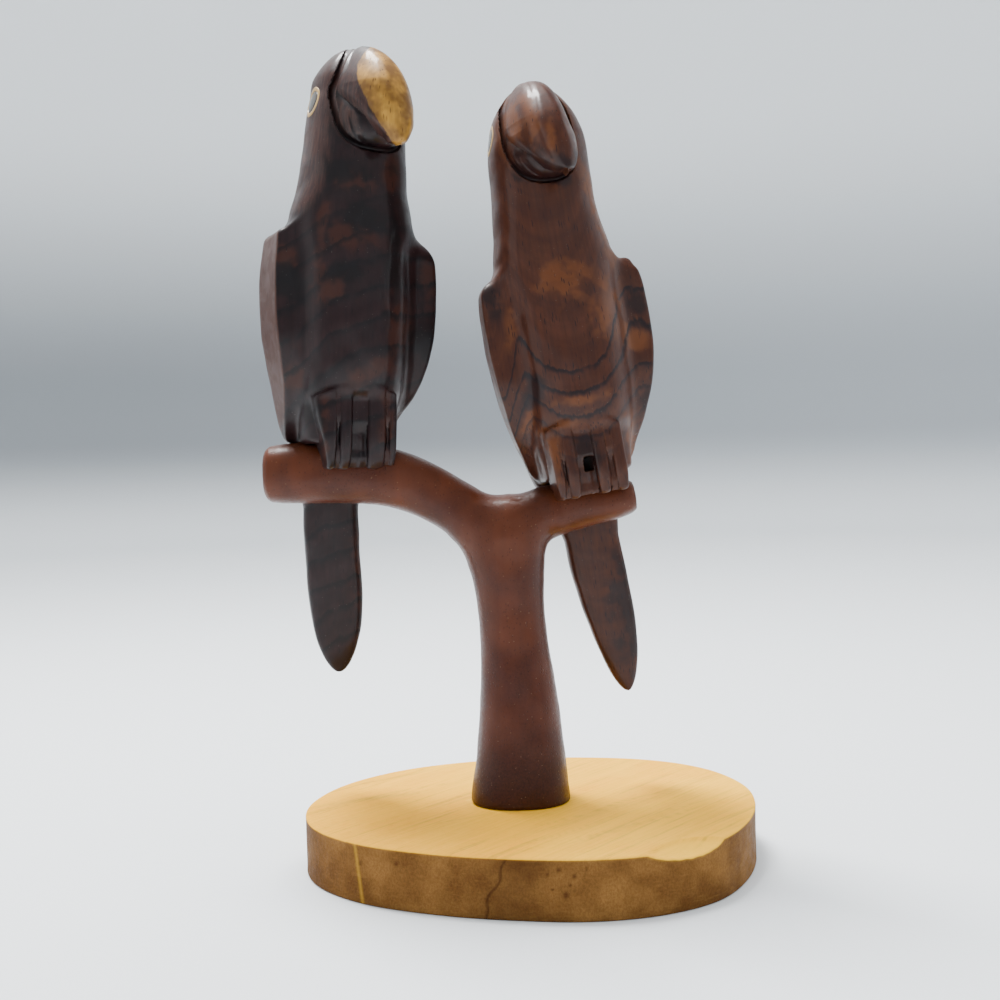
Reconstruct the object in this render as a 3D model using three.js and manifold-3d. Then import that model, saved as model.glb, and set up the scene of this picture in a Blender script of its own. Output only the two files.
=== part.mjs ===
// Carved parrot pair on a branch: two hardwood parrots astride a forked branch on an oval wooden base.
// Millimetres, +Z up, the birds face -Y. The origin ends up under the middle of the base.
import * as THREE from "three";
import { mergeVertices } from "three/addons/utils/BufferGeometryUtils.js";
import Module from "manifold-3d";

// Driving dimensions of the base
const BASE_THICKNESS = 12;
const BASE_CHIP_DEPTH = 1.7;
const BASE_CHIP_WIDTH = 19;
const BASE_CHIP_REACH = 5.5;
const BASE_CHIP_PLACE = [32.5, -37.6];
const BASE_CHIP_TURN = 32;

// Driving dimensions of the branch
const FOOT_HALF_WIDTH = 10.9;
const FOOT_HALF_DEPTH = 10;
const POST_NECK_HALF = 7.1;
const LEFT_ARM_HALF = 6.6;
const RIGHT_ARM_HALF = 3.9;
const LEFT_ARM_END = -53.4;
const RIGHT_ARM_END = 26.4;
const LEFT_ARM_HEIGHT = 84.1;
const RIGHT_ARM_HEIGHT = 77.5;
const BRANCH_SIDES = 16;
const BRANCH_ROUNDNESS = 0.88;

// Driving dimensions that both parrots share, with heights measured up from the perch
const CROWN_HEIGHT = 90.2;
const SHOULDER_HEIGHT = 51;
const BODY_BOTTOM = 6;
const TAIL_HALF_WIDTH = 6.15;
const WING_HALF_WIDTH = 17.9;
const LEG_TOP = 18.6;
const BEAK_TIP_HEIGHT = 66.6;
const PERCH_CLEARANCE = 0.3;
const GROOVE_RADIUS = 0.55;
const TWIST_FROM = 50;
const TWIST_TO = 66;

// Driving dimensions of the inlaid eyes
const EYE_RADIUS = 3.25;
const EYE_RING_WIDTH = 0.9;
const EYE_DEPTH = 1.5;
const INLAY_GAP = 0.3;

// Where each parrot sits and what its carver varied: lean and turn in degrees, the rest in millimetres.
// sway lists [height, sideways shift] of the centre line, cheeks the extra half width of the neck and
// head on the left and the right, tipTrim how far the left and right wing tips are drawn in, toes the
// left and right side of each toe, and tailTaper the heights where the tail starts to narrow and ends.
// groove is the oval that parts the beak from the head: its half widths, how square it is lower down on
// each side, and its reach below and above its middle.
const LEFT_PARROT = {
  perch: [-35.4, 0, 84.1],
  lean: 1.8,
  turn: 20,
  headTwist: 14,
  sway: [
    [-44, 0.8], [-30, 0], [-15, -1.2], [-5, -1.6], [8, -0.8], [25, 0.15], [40, 0.15], [51, 0.15],
    [56, 0.4], [62, 1], [76, 1.5], [84, 1.4], [90.2, 0.9],
  ],
  wingScale: 1.027,
  sideFlare: 1.3,
  shoulderLift: 1,
  rightRounding: 4.2,
  tipTrim: [0, 1.5],
  cheeks: [
    [[50, 0], [56, 0.5], [63, 0.4], [70, 0.2], [79.5, -0.3], [84.5, 0.6], [88, 0.5], [90.2, 0.2]],
    [[47, 0], [52, 0.8], [56, 0.5], [61, 0]],
  ],
  backSlope: 0.25,
  beakShift: 0.5,
  beakScale: 1,
  hookBend: 0.6,
  groove: { left: 8.6, right: 7.2, leftPower: 3.2, rightPower: 2.6, crownPower: 1.6, drop: 10.2, rise: 13 },
  toes: [[-7, -4.8], [-4.3, -1.5], [1.75, 5.8], [6.3, 8]],
  toeBottom: 0.7,
  toeFlare: 2.6,
  tailGap: 7.3,
  tailTaper: [-26, -45.4],
  eyeHeight: 78.4,
  eyePlace: 2.4,
};
const RIGHT_PARROT = {
  perch: [18.7, 0, 76.3],
  lean: -8.9,
  turn: 9,
  headTwist: 2.5,
  sway: [
    [-42, 1.35], [-30, 0.6], [-18, -0.55], [-11, -1], [0, -1.4], [13, -1.7], [25, -1.1], [34, -0.85],
    [57, -0.95], [63, -1], [68, -0.5], [78, -0.1], [84, 0.1], [88, 0.3],
  ],
  wingScale: 1,
  sideFlare: 0.2,
  shoulderLift: 0,
  rightRounding: 2.2,
  tipTrim: [0.6, 0.7],
  cheeks: [
    [[64, 0], [70, 0.35], [80, 0.45], [85, 0.8], [88, 0.8], [90.2, 0.3]],
    [[62, 0.2], [66, 0.3], [72, 0.5], [76, 0.8], [80, 1.1], [88, 1.1], [90.2, 0.4]],
  ],
  backSlope: 0.6,
  beakShift: -0.35,
  beakScale: 0.95,
  hookBend: 1.8,
  groove: { left: 8.1, right: 7, leftPower: 2.3, rightPower: 2.6, crownPower: 2, drop: 9.6, rise: 13.8 },
  toes: [[-10.4, -8.6], [-8.1, -5.4], [-1.7, 1.2], [2.2, 5]],
  toeBottom: 2,
  toeFlare: 0.6,
  tailGap: 6.3,
  tailTaper: [-12, -43.7],
  eyeHeight: 80.1,
  eyePlace: 1.2,
};

const wasm = await Module();
wasm.setup();

// A smooth curve through a few stations [[position, value], ...], flat at its peaks, constant outside
function profile(stations) {
  const xs = stations.map((station) => station[0]);
  const ys = stations.map((station) => station[1]);
  const steps = xs.slice(1).map((x, i) => (ys[i + 1] - ys[i]) / (x - xs[i]));
  const slopes = xs.map((_, i) => {
    if (i === 0) return steps[0];
    if (i === xs.length - 1) return steps[i - 1];
    const product = steps[i - 1] * steps[i];
    return product <= 0 ? 0 : (2 * product) / (steps[i - 1] + steps[i]);
  });
  return (x) => {
    if (x <= xs[0]) return ys[0];
    if (x >= xs[xs.length - 1]) return ys[ys.length - 1];
    let i = 0;
    while (x > xs[i + 1]) i += 1;
    const span = xs[i + 1] - xs[i];
    const t = (x - xs[i]) / span;
    const rise = ys[i] * (1 + 2 * t) * (1 - t) ** 2 + ys[i + 1] * t * t * (3 - 2 * t);
    return rise + span * t * (1 - t) * (slopes[i] * (1 - t) - slopes[i + 1] * t);
  };
}

function smoothStep(from, to, x) {
  const t = Math.min(1, Math.max(0, (x - from) / (to - from)));
  return t * t * (3 - 2 * t);
}

// The lower of two distances, rounded over a radius, so that two forms run together
function softUnion(a, b, radius) {
  const h = Math.max(radius - Math.abs(a - b), 0) / radius;
  return Math.min(a, b) - (h * h * radius) / 4;
}

// The higher of two distances, rounded over a radius, so that a corner is eased
function softMeet(a, b, radius) {
  return -softUnion(-a, -b, radius);
}

// Rings of points, each with as many points, joined into one closed skin
function loft(rings) {
  const count = rings[0].length;
  const positions = rings.flat().flatMap((point) => point.toArray());
  const index = [];
  for (let r = 0; r < rings.length - 1; r += 1) {
    for (let k = 0; k < count; k += 1) {
      const a = r * count + k;
      const b = r * count + ((k + 1) % count);
      index.push(a, b, b + count, a, b + count, a + count);
    }
  }
  for (const last of [false, true]) {
    const ring = last ? rings[rings.length - 1] : rings[0];
    const first = last ? (rings.length - 1) * count : 0;
    const middle = new THREE.Vector3();
    ring.forEach((point) => middle.addScaledVector(point, 1 / count));
    const centre = positions.length / 3;
    positions.push(...middle.toArray());
    for (let k = 0; k < count; k += 1) {
      const a = first + k;
      const b = first + ((k + 1) % count);
      index.push(...(last ? [a, b, centre] : [b, a, centre]));
    }
  }
  const geometry = new THREE.BufferGeometry();
  geometry.setAttribute("position", new THREE.Float32BufferAttribute(positions, 3));
  geometry.setIndex(index);
  return geometry;
}

const MERGE_DISTANCE = 1e-4;

function solidOf(geometry) {
  const bare = geometry.clone();
  bare.deleteAttribute("normal");
  bare.deleteAttribute("uv");
  const merged = mergeVertices(bare, MERGE_DISTANCE);
  const vertProperties = new Float32Array(merged.attributes.position.array);
  const triVerts = new Uint32Array(merged.index.array);
  return new wasm.Manifold(new wasm.Mesh({ numProp: 3, vertProperties, triVerts }));
}

function geometryOf(solid) {
  const mesh = solid.getMesh();
  const geometry = new THREE.BufferGeometry();
  geometry.setAttribute("position", new THREE.BufferAttribute(mesh.vertProperties, 3));
  geometry.setIndex(new THREE.BufferAttribute(mesh.triVerts, 1));
  geometry.computeVertexNormals();
  return geometry;
}

// An oval section with its own reach to the front and the back, as a distance that is negative inside
function oval(x, y, halfWidth, front, back, power) {
  const reach = y < 0 ? front : back;
  const k = (Math.abs(x / halfWidth) ** power + Math.abs(y / reach) ** power) ** (1 / power);
  return (k - 1) * Math.min(halfWidth, reach);
}

// The parrot's trunk from the belly to the crown, without wings
const trunkHalf = profile([
  [6, 9.4], [18, 11.2], [34, 11.9], [46, 12.2], [51, 12.8], [54, 12.5], [60, 11.3], [70, 10.3],
  [76, 9.9], [81, 8.7], [85, 6.8], [88, 4.4], [89.7, 2.1], [CROWN_HEIGHT, 0.6],
]);
const trunkFront = profile([
  [6, 7.6], [14, 8.6], [17.5, 11.2], [24, 12.6], [34, 13.2], [44, 12.2], [54, 10.8], [64, 10.6],
  [75, 9.6], [83, 7.6], [87, 5.2], [89.7, 2.4], [CROWN_HEIGHT, 0.6],
]);
const trunkBack = profile([
  [6, 12.2], [20, 13.2], [36, 13.2], [48, 12], [60, 11.1], [76, 11.4], [83, 11.2],
  [87, 8.8], [89.7, 4], [CROWN_HEIGHT, 0.6],
]);

// The folded wings: half width at the ridge, and how far back the ridge runs
const wingHalf = profile([
  [4, 9.8], [8, 12.2], [13, 13.8], [18, 15.1], [24, 16.6], [30, 17.5], [36, WING_HALF_WIDTH],
  [43, 17.8], [SHOULDER_HEIGHT, 17.0],
]);
const wingRidge = profile([
  [6, 5.5], [12, 1.0], [20, -3.2], [30, -5.0], [44, -4.8], [SHOULDER_HEIGHT, -3.8],
]);
const wingBack = profile([[6, 12.2], [22, 13.8], [40, 14.0], [SHOULDER_HEIGHT, 11.6]]);
const WING_FACE_RISE = 0.15;
const SHOULDER_FALL = 0.42;
const SHOULDER_INNER = 12.6;
const SHOULDER_ROUNDING = 2.2;
const BACK_ROUNDING = 3;
const WING_BLEND = 2.4;
const TRUNK_SQUARENESS = 2.35;
const FLARE_FROM = 6;
const FLARE_RATE = 0.09;
const TIP_TRIM_HEIGHT = 11;
const TIP_TRIM_SPREAD = 4.5;

function wingField(x, y, s, bird) {
  const half = wingHalf(s) * bird.wingScale;
  const flare = x < 0 ? bird.sideFlare * Math.max(0, FLARE_FROM - y) * FLARE_RATE : 0;
  const trim = bird.tipTrim[x < 0 ? 0 : 1] * Math.exp(-(((s - TIP_TRIM_HEIGHT) / TIP_TRIM_SPREAD) ** 2));
  const side = Math.abs(x) - half + flare + trim;
  const face = wingRidge(s) - WING_FACE_RISE * (half - Math.abs(x)) - y;
  const back = y - wingBack(s) + bird.backSlope * Math.abs(x);
  const lift = x < 0 ? bird.shoulderLift : 0;
  const top = s - SHOULDER_HEIGHT - lift + SHOULDER_FALL * (Math.abs(x) - SHOULDER_INNER);
  const section = softMeet(Math.max(side, face), back, BACK_ROUNDING);
  return softMeet(section, top, x < 0 ? SHOULDER_ROUNDING - lift : bird.rightRounding);
}

function bodyField(x, y, s, bird) {
  const cheek = profile(bird.cheeks[x < 0 ? 0 : 1])(s);
  const trunk = oval(x, y, trunkHalf(s) + cheek, trunkFront(s), trunkBack(s), TRUNK_SQUARENESS);
  return softUnion(trunk, wingField(x, y, s, bird), WING_BLEND);
}

// Rays from a section's middle, on one side: before the wing's ridge and behind it
const RAY_SPLIT_FRONT = 7;
const RAY_SPLIT_BACK = 5;
const RAY_REACH = 26;
const BISECTIONS = 26;

// The distance along a ray from the section's middle to the carved surface, found by halving
function reachOf(field, dx, dy) {
  let inside = 0;
  let outside = RAY_REACH;
  for (let i = 0; i < BISECTIONS; i += 1) {
    const middle = (inside + outside) / 2;
    if (field(middle * dx, middle * dy) < 0) inside = middle;
    else outside = middle;
  }
  return inside;
}

// Takes a form from the straight bird to the carved one: the neck twists and the centre line sways
function posed(geometry, bird) {
  const sway = profile(bird.sway);
  const place = geometry.attributes.position;
  const up = new THREE.Vector3(0, 0, 1);
  const point = new THREE.Vector3();
  for (let i = 0; i < place.count; i += 1) {
    point.fromBufferAttribute(place, i);
    const twist = THREE.MathUtils.degToRad(bird.headTwist) * smoothStep(TWIST_FROM, TWIST_TO, point.z);
    const shift = sway(point.z);
    point.applyAxisAngle(up, twist);
    place.setXYZ(i, point.x + shift, point.y, point.z);
  }
  return geometry;
}

// One section of the body: rays spread so that one of them meets each wing's ridge
function bodyRing(s, bird) {
  const ridge = Math.atan2(wingHalf(s) * bird.wingScale, -wingRidge(s));
  const angles = [];
  for (let k = 0; k < RAY_SPLIT_FRONT; k += 1) angles.push((ridge * k) / RAY_SPLIT_FRONT);
  for (let k = 0; k < RAY_SPLIT_BACK; k += 1) {
    angles.push(ridge + ((Math.PI - ridge) * k) / RAY_SPLIT_BACK);
  }
  const turned = angles.slice(1).map((angle) => -angle).reverse();
  const all = [...angles, Math.PI, ...turned];
  return all.map((angle) => {
    const dx = Math.sin(angle);
    const dy = -Math.cos(angle);
    const reach = reachOf((x, y) => bodyField(x, y, s, bird), dx, dy);
    return new THREE.Vector3(reach * dx, reach * dy, s);
  });
}

const BODY_SECTIONS = [
  BODY_BOTTOM, 9.5, 13, 16, 18, 22, 27, 32, 38, 43, 46.5, 48.5, 50, 51, 52.2, 54.5, 58, 62, 66, 70,
  74, 78, 81.5, 84.5, 87, 88.8, CROWN_HEIGHT,
];

// Half the width of the beak on one side, where it meets the groove
const GROOVE_MIDDLE = 77.5;
const GROOVE_SHOULDER = 0.42;
const BEAK_LEAST_HALF = 0.3;

function beakHalf(side, s, { groove }) {
  const half = side < 0 ? groove.left : groove.right;
  const below = s < GROOVE_MIDDLE;
  const lowerPower = side < 0 ? groove.leftPower : groove.rightPower;
  const power = below ? lowerPower : groove.crownPower;
  const v = Math.abs(s - GROOVE_MIDDLE) / (below ? groove.drop : groove.rise);
  return Math.max(half * Math.max(1 - v ** power, 0) ** (1 / power) - GROOVE_SHOULDER, BEAK_LEAST_HALF);
}

// A section of the upper beak: a rounded front between two edges, with its back hooked clear of
// the lower beak near the tip
const BEAK_BASE = 3;
const BEAK_BASE_SHARE = 0.9;
const BEAK_CROWN_POWER = 2.6;
const BEAK_ROOT_POWER = 3.3;
const LOWER_BEAK_SQUARENESS = 0.65;
const BEAK_STEPS = 10;

function upperBeakRing(s, bird) {
  const left = Math.min(upperBeakLeft(s), beakHalf(-1, s, bird));
  const right = Math.min(upperBeakRight(s), beakHalf(1, s, bird));
  const front = upperBeakFront(s);
  const edge = upperBeakEdge(s);
  const back = -upperBeakBack(s);
  const power = BEAK_CROWN_POWER + (BEAK_ROOT_POWER - BEAK_CROWN_POWER) * smoothStep(76, 80, s);
  const flat = [[right * BEAK_BASE_SHARE, back]];
  for (let k = 0; k <= BEAK_STEPS; k += 1) {
    const u = 1 - (2 * k) / BEAK_STEPS;
    flat.push([(u < 0 ? left : right) * u, -edge - (front - edge) * (1 - Math.abs(u) ** power)]);
  }
  flat.push([-left * BEAK_BASE_SHARE, back]);
  const shift = bird.hookBend * beakBend(s);
  return flat.reverse().map(([x, y]) => onBeak(x + shift, y, s, bird));
}

function lowerBeakRing(s, bird) {
  const depth = lowerBeakFront(s) - BEAK_BASE;
  const ring = [];
  for (let k = 0; k <= BEAK_STEPS; k += 1) {
    const across = Math.sin(Math.PI * (k / BEAK_STEPS - 0.5));
    const ahead = Math.sqrt(1 - across * across);
    const x = beakHalf(across, s, bird) * Math.sign(across) * Math.abs(across) ** LOWER_BEAK_SQUARENESS;
    ring.push(onBeak(x, -BEAK_BASE - depth * ahead ** LOWER_BEAK_SQUARENESS, s, bird));
  }
  return ring;
}

function lowerBeakSections(bird) {
  const bottom = GROOVE_MIDDLE - bird.groove.drop + GROOVE_SHOULDER;
  return [0, 0.8, 2.2, 4.6, 8, 12].map((step) => bottom + step);
}

// The beak sits a little to one side of the head and is drawn in by a scale
function onBeak(x, y, s, bird) {
  return new THREE.Vector3(bird.beakShift + bird.beakScale * x, y, s);
}

const upperBeakLeft = profile([
  [BEAK_TIP_HEIGHT, 0.9], [67.4, 1.7], [68.4, 2.3], [69.2, 3], [70.7, 4.25], [72.1, 5.15], [73.5, 5.85],
  [75.8, 6.7], [78, 7.3], [79.4, 7.9], [80.4, 8.5],
]);
const upperBeakRight = profile([
  [BEAK_TIP_HEIGHT, 0.9], [67.4, 1.8], [68.5, 2.5], [70.3, 3.5], [72.5, 4.5], [74.2, 5.2], [76, 6],
  [78.4, 6.75], [80, 6.9],
]);
const upperBeakFront = profile([
  [BEAK_TIP_HEIGHT, 18.2], [68.5, 19.1], [72, 19.3], [76, 18.5], [80, 16.9], [84, 14.2], [87, 10.9],
  [89, 7.4], [90.1, 4],
]);
const upperBeakEdge = profile([
  [BEAK_TIP_HEIGHT, 16.8], [68.5, 16.9], [70.8, 16.6], [72.1, 15.9], [73.1, 15], [74.7, 13.6],
  [75.9, 12.4], [77.35, 10.6], [78.6, 8.4], [80, 6], [83, 4.2], [86, 3.4], [90.1, 3.2],
]);
const upperBeakBack = profile([
  [BEAK_TIP_HEIGHT, 16.2], [68.5, 15], [70.3, 12.5], [72.5, 8], [75, BEAK_BASE],
]);
const beakBend = profile([[BEAK_TIP_HEIGHT, 1], [72, 0.5], [78, 0]]);
const lowerBeakFront = profile([
  [68.2, 13.2], [69.8, 14.4], [72.4, 14.6], [74, 13.5], [75.5, 11.8], [77, 9.8], [78, 8.2], [80, 5.4],
]);
const UPPER_BEAK_SECTIONS = [BEAK_TIP_HEIGHT, 67.4, 69, 70.8, 72.6, 74.5, 76.5, 78.5, 82, 85.5, 88, 90.1];

// The groove that parts the beak from the head, open over the crown
const GROOVE_TOP = 87;
const GROOVE_STEPS = 22;
const GROOVE_ARC_SEGMENTS = 2;

function beakGroove(bird) {
  const { left, right, leftPower, rightPower, crownPower, drop, rise } = bird.groove;
  const from = Math.acos((GROOVE_TOP - GROOVE_MIDDLE) / rise);
  const points = [];
  for (let k = 0; k <= GROOVE_STEPS; k += 1) {
    const angle = from + ((2 * Math.PI - 2 * from) * k) / GROOVE_STEPS;
    const across = Math.sin(angle);
    const up = Math.cos(angle);
    const lowerPower = across < 0 ? leftPower : rightPower;
    const bend = 2 / (up < 0 ? lowerPower : crownPower);
    const half = (across < 0 ? left : right) * Math.sign(across) * Math.abs(across) ** bend;
    const x = bird.beakShift + bird.beakScale * half;
    const s = GROOVE_MIDDLE + (up < 0 ? drop : rise) * Math.sign(up) * Math.abs(up) ** bend;
    const depth = reachOf((_, y) => bodyField(x, y, s, bird), 0, -1);
    points.push(new THREE.Vector3(x, -depth, s));
  }
  const ring = new THREE.Shape();
  ring.absarc(0, 0, GROOVE_RADIUS, 0, 2 * Math.PI);
  return new THREE.ExtrudeGeometry(ring, {
    steps: GROOVE_STEPS,
    curveSegments: GROOVE_ARC_SEGMENTS,
    extrudePath: new THREE.CatmullRomCurve3(points),
  });
}

// The tail: wing tips that close over a long flat tail behind the perch
const tailRoot = profile([[-8, TAIL_HALF_WIDTH], [0, 7.6], [6, 10.2], [13, 11.9]]);
const tailThickness = profile([[-45, 1.8], [-38, 3.2], [-20, 4.6], [-4, 5.4], [13, 6.2]]);
const TAIL_TIP_SHAPE = 0.55;
const TAIL_TIP_LEAST = 0.01;
const TAIL_DRIFT = 2.2;
const TAIL_SIDES = 12;
const TAIL_TOP = 13;
const TAIL_ROUNDNESS = 0.6;

function tailRing(s, bird) {
  const [full, tip] = bird.tailTaper;
  const taper = Math.max(0, (full - s) / (full - tip));
  const half = tailRoot(s) * Math.max(1 - taper * taper, TAIL_TIP_LEAST) ** TAIL_TIP_SHAPE;
  const thick = tailThickness(s) / 2;
  const y = bird.tailGap + tailThickness(0) / 2 + (TAIL_DRIFT * Math.max(0, -s)) / -tip;
  const ring = [];
  for (let k = 0; k < TAIL_SIDES; k += 1) {
    const angle = (2 * Math.PI * (k + 0.5)) / TAIL_SIDES;
    const c = Math.cos(angle);
    const d = Math.sin(angle);
    const across = half * Math.sign(c) * Math.abs(c) ** TAIL_ROUNDNESS;
    const through = thick * Math.sign(d) * Math.abs(d) ** TAIL_ROUNDNESS;
    ring.push(new THREE.Vector3(across, y + through, s));
  }
  return ring;
}

function tail(bird) {
  const tip = bird.tailTaper[1];
  const lower = [0, 0.7, 2.4, 5.5, 10, 17, 27].map((step) => tip + step);
  const sections = [...lower, -6, 0, 6, TAIL_TOP];
  return loft(sections.map((s) => tailRing(s, bird)));
}

// One toe: a tapering bar down the front of the perch, with chamfered front corners
const toeFront = profile([[0.7, 8.8], [3, 10], [8, 10.7], [15, 10.6], [LEG_TOP, 10.6]]);
const LEG_BACK = -2;
const TOE_CHAMFER = 0.45;
const TOE_STEPS = [0, 0.7, 2.6, 7];
const TOE_UPPER = 13;

function bar(sections, left, right, front, back, chamfer) {
  const rings = sections.map((s) => {
    const x0 = left(s);
    const x1 = right(s);
    const y0 = -front(s);
    return [
      [x0, back], [x0, y0 + chamfer], [x0 + chamfer, y0],
      [x1 - chamfer, y0], [x1, y0 + chamfer], [x1, back],
    ].map(([x, y]) => new THREE.Vector3(x, y, s));
  });
  return loft(rings);
}

// The strips that close the gaps between the toes, a little behind their fronts
const STRIP_OVERLAP = 0.2;
const STRIP_RISE = 0.6;
const STRIP_CHAMFER = 0.05;
const STRIP_INSETS = [0.6, 1.4, 0.6];

function feet(bird) {
  const [first] = bird.toes;
  const levels = [...TOE_STEPS.map((step) => bird.toeBottom + step), TOE_UPPER, LEG_TOP];
  const parts = bird.toes.map(([left, right]) => {
    const flare = left === first[0] ? -bird.toeFlare : 0;
    const outward = (s) => left + flare * smoothStep(1, LEG_TOP, s);
    return bar(levels, outward, () => right, toeFront, LEG_BACK, TOE_CHAMFER);
  });
  const stripLevels = [bird.toeBottom + STRIP_RISE, ...levels.slice(2, -1), LEG_TOP - STRIP_RISE];
  STRIP_INSETS.forEach((inset, n) => {
    const left = bird.toes[n][1] - STRIP_OVERLAP;
    const right = bird.toes[n + 1][0] + STRIP_OVERLAP;
    const front = (s) => toeFront(s) - inset;
    parts.push(bar(stripLevels, () => left, () => right, front, LEG_BACK, STRIP_CHAMFER));
  });
  return parts;
}

function placeOf(bird) {
  const place = new THREE.Matrix4().makeTranslation(...bird.perch);
  place.multiply(new THREE.Matrix4().makeRotationY(THREE.MathUtils.degToRad(bird.lean)));
  place.multiply(new THREE.Matrix4().makeRotationZ(THREE.MathUtils.degToRad(bird.turn)));
  return place;
}

// The middle of an eye on the side of the head, its axis square to the surface
const PROBE = 0.8;
const INLAY_REACH = 2;
const INLAY_SEGMENTS = 12;

function eyeFrame(bird, side) {
  const s = bird.eyeHeight;
  const reach = reachOf((x, y) => bodyField(x, bird.eyePlace + y, s, bird), side, 0);
  const seat = new THREE.Vector3(side * reach, bird.eyePlace, s);
  const slope = (dx, dy, ds) =>
    bodyField(seat.x + dx, seat.y + dy, s + ds, bird) -
    bodyField(seat.x - dx, seat.y - dy, s - ds, bird);
  const outward = new THREE.Vector3(slope(PROBE, 0, 0), slope(0, PROBE, 0), slope(0, 0, PROBE));
  const square = new THREE.Quaternion();
  square.setFromUnitVectors(new THREE.Vector3(0, 0, 1), outward.normalize());
  return new THREE.Matrix4().compose(seat, square, new THREE.Vector3(1, 1, 1));
}

// A disc or ring about its own axis, from a depth under the surface to well above it
function inlay(inner, outer, depth) {
  const outline = [
    [inner, -depth], [outer, -depth], [outer, INLAY_REACH], [inner, INLAY_REACH], [inner, -depth],
  ].map(([x, y]) => new THREE.Vector2(x, y));
  return new THREE.LatheGeometry(outline, INLAY_SEGMENTS).rotateX(Math.PI / 2);
}

function buildParrot(name, bird, branchTool) {
  const place = placeOf(bird);
  const solidAt = (geometry) => solidOf(posed(geometry, bird).applyMatrix4(place));
  const body = solidAt(loft(BODY_SECTIONS.map((s) => bodyRing(s, bird))));
  const joined = [
    loft(UPPER_BEAK_SECTIONS.map((s) => upperBeakRing(s, bird))),
    loft(lowerBeakSections(bird).map((s) => lowerBeakRing(s, bird))),
    tail(bird),
  ];
  let solid = body;
  for (const piece of joined) solid = solid.add(solidAt(piece));
  for (const toe of feet(bird)) solid = solid.add(solidOf(toe.applyMatrix4(place)));
  solid = solid.subtract(solidAt(beakGroove(bird)));
  const inlays = [];
  for (const [sideName, side] of [["left", -1], ["right", 1]]) {
    const frame = eyeFrame(bird, side);
    const sunk = (inner, outer, depth) => solidAt(inlay(inner, outer, depth).applyMatrix4(frame));
    const ringInner = EYE_RADIUS - EYE_RING_WIDTH;
    const ring = sunk(ringInner, EYE_RADIUS, EYE_DEPTH).intersect(body);
    const pupil = sunk(0, ringInner - INLAY_GAP, EYE_DEPTH).intersect(body);
    solid = solid.subtract(sunk(0, EYE_RADIUS + INLAY_GAP, EYE_DEPTH + INLAY_GAP));
    inlays.push(namedMesh(`${name}_${sideName}_eye_ring`, geometryOf(ring), "ring"));
    inlays.push(namedMesh(`${name}_${sideName}_pupil`, geometryOf(pupil), "pupil"));
  }
  return [namedMesh(name, geometryOf(solid.subtract(branchTool)), name), ...inlays];
}

// A limb of the branch: oval sections along a smooth curve through its stations.
// Each station is [x, z, half width in the plane of the fork, half depth].
function limb(stations, extra, steps) {
  const path = new THREE.CatmullRomCurve3(
    stations.map(([x, z]) => new THREE.Vector3(x, 0, z)), false, "centripetal",
  );
  const last = stations.length - 1;
  const half = profile(stations.map((station, i) => [i / last, station[2]]));
  const depth = profile(stations.map((station, i) => [i / last, station[3]]));
  const rings = [];
  for (let k = 0; k <= steps; k += 1) {
    const t = k / steps;
    const middle = path.getPoint(t);
    const along = path.getTangent(t);
    const across = new THREE.Vector3(along.z, 0, -along.x);
    const ring = [];
    for (let n = 0; n < BRANCH_SIDES; n += 1) {
      const angle = (2 * Math.PI * n) / BRANCH_SIDES;
      const c = Math.cos(angle);
      const d = Math.sin(angle);
      const a = (half(t) + extra) * Math.sign(c) * Math.abs(c) ** BRANCH_ROUNDNESS;
      const b = (depth(t) + extra) * Math.sign(d) * Math.abs(d) ** BRANCH_ROUNDNESS;
      ring.push(middle.clone().addScaledVector(across, a).add(new THREE.Vector3(0, b, 0)));
    }
    rings.push(ring);
  }
  return loft(rings);
}

const LEFT_LIMB = [
  [LEFT_ARM_END, LEFT_ARM_HEIGHT, 4.9, 4.9],
  [LEFT_ARM_END + 1.6, LEFT_ARM_HEIGHT, 6.3, 6.2],
  [-44, LEFT_ARM_HEIGHT, LEFT_ARM_HALF, LEFT_ARM_HALF],
  [-34, 83.8, 6.5, 6.5],
  [-25.6, 82.5, 6.3, 6.4],
  [-20, 80.4, 6.0, 6.3],
  [-14.6, 77.5, 5.8, 6.3],
  [-10.2, 74.4, 5.9, 6.4],
  [-6, 70.4, 6.6, 6.6],
  [-3, 65.4, 7.4, 6.8],
  [-1.6, 59, POST_NECK_HALF, 6.9],
  [-0.6, 48, 7.3, 7.2],
  [0.2, 34, 8.5, 8.1],
  [0.35, 22, 9.7, 9.0],
  [0.1, BASE_THICKNESS, FOOT_HALF_WIDTH, FOOT_HALF_DEPTH],
  [0.1, BASE_THICKNESS - 2, FOOT_HALF_WIDTH + 0.2, FOOT_HALF_DEPTH + 0.2],
];
const RIGHT_LIMB = [
  [-1.1, 50, 2.4, 2.4],
  [-0.8, 57, 4.6, 4.7],
  [-0.5, 63.5, 5.9, 6.1],
  [0.6, 68.8, 6.1, 6.4],
  [3.2, 72.4, 5.7, 6.3],
  [7.2, 74.4, 5.6, 6.0],
  [12.2, 75.4, 5.3, 5.6],
  [18.7, 76.3, 4.6, 5.2],
  [RIGHT_ARM_END - 1.5, RIGHT_ARM_HEIGHT - 0.2, RIGHT_ARM_HALF, 4.6],
  [RIGHT_ARM_END, RIGHT_ARM_HEIGHT, 2.9, 3.5],
];
const CROTCH = [
  [-10, 73.6, 3.8, 4.2],
  [-5, 72.6, 5.4, 5.9],
  [-1.3, 72.2, 5.7, 6.2],
  [2.5, 72.6, 5.4, 5.9],
  [7, 73.9, 3.8, 4.2],
];
const CROTCH_STEPS = 6;
const LIMB_STEPS = 20;
const SHORT_LIMB_STEPS = 14;
const FLOOR_TOOL_SIDE = 60;

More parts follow.
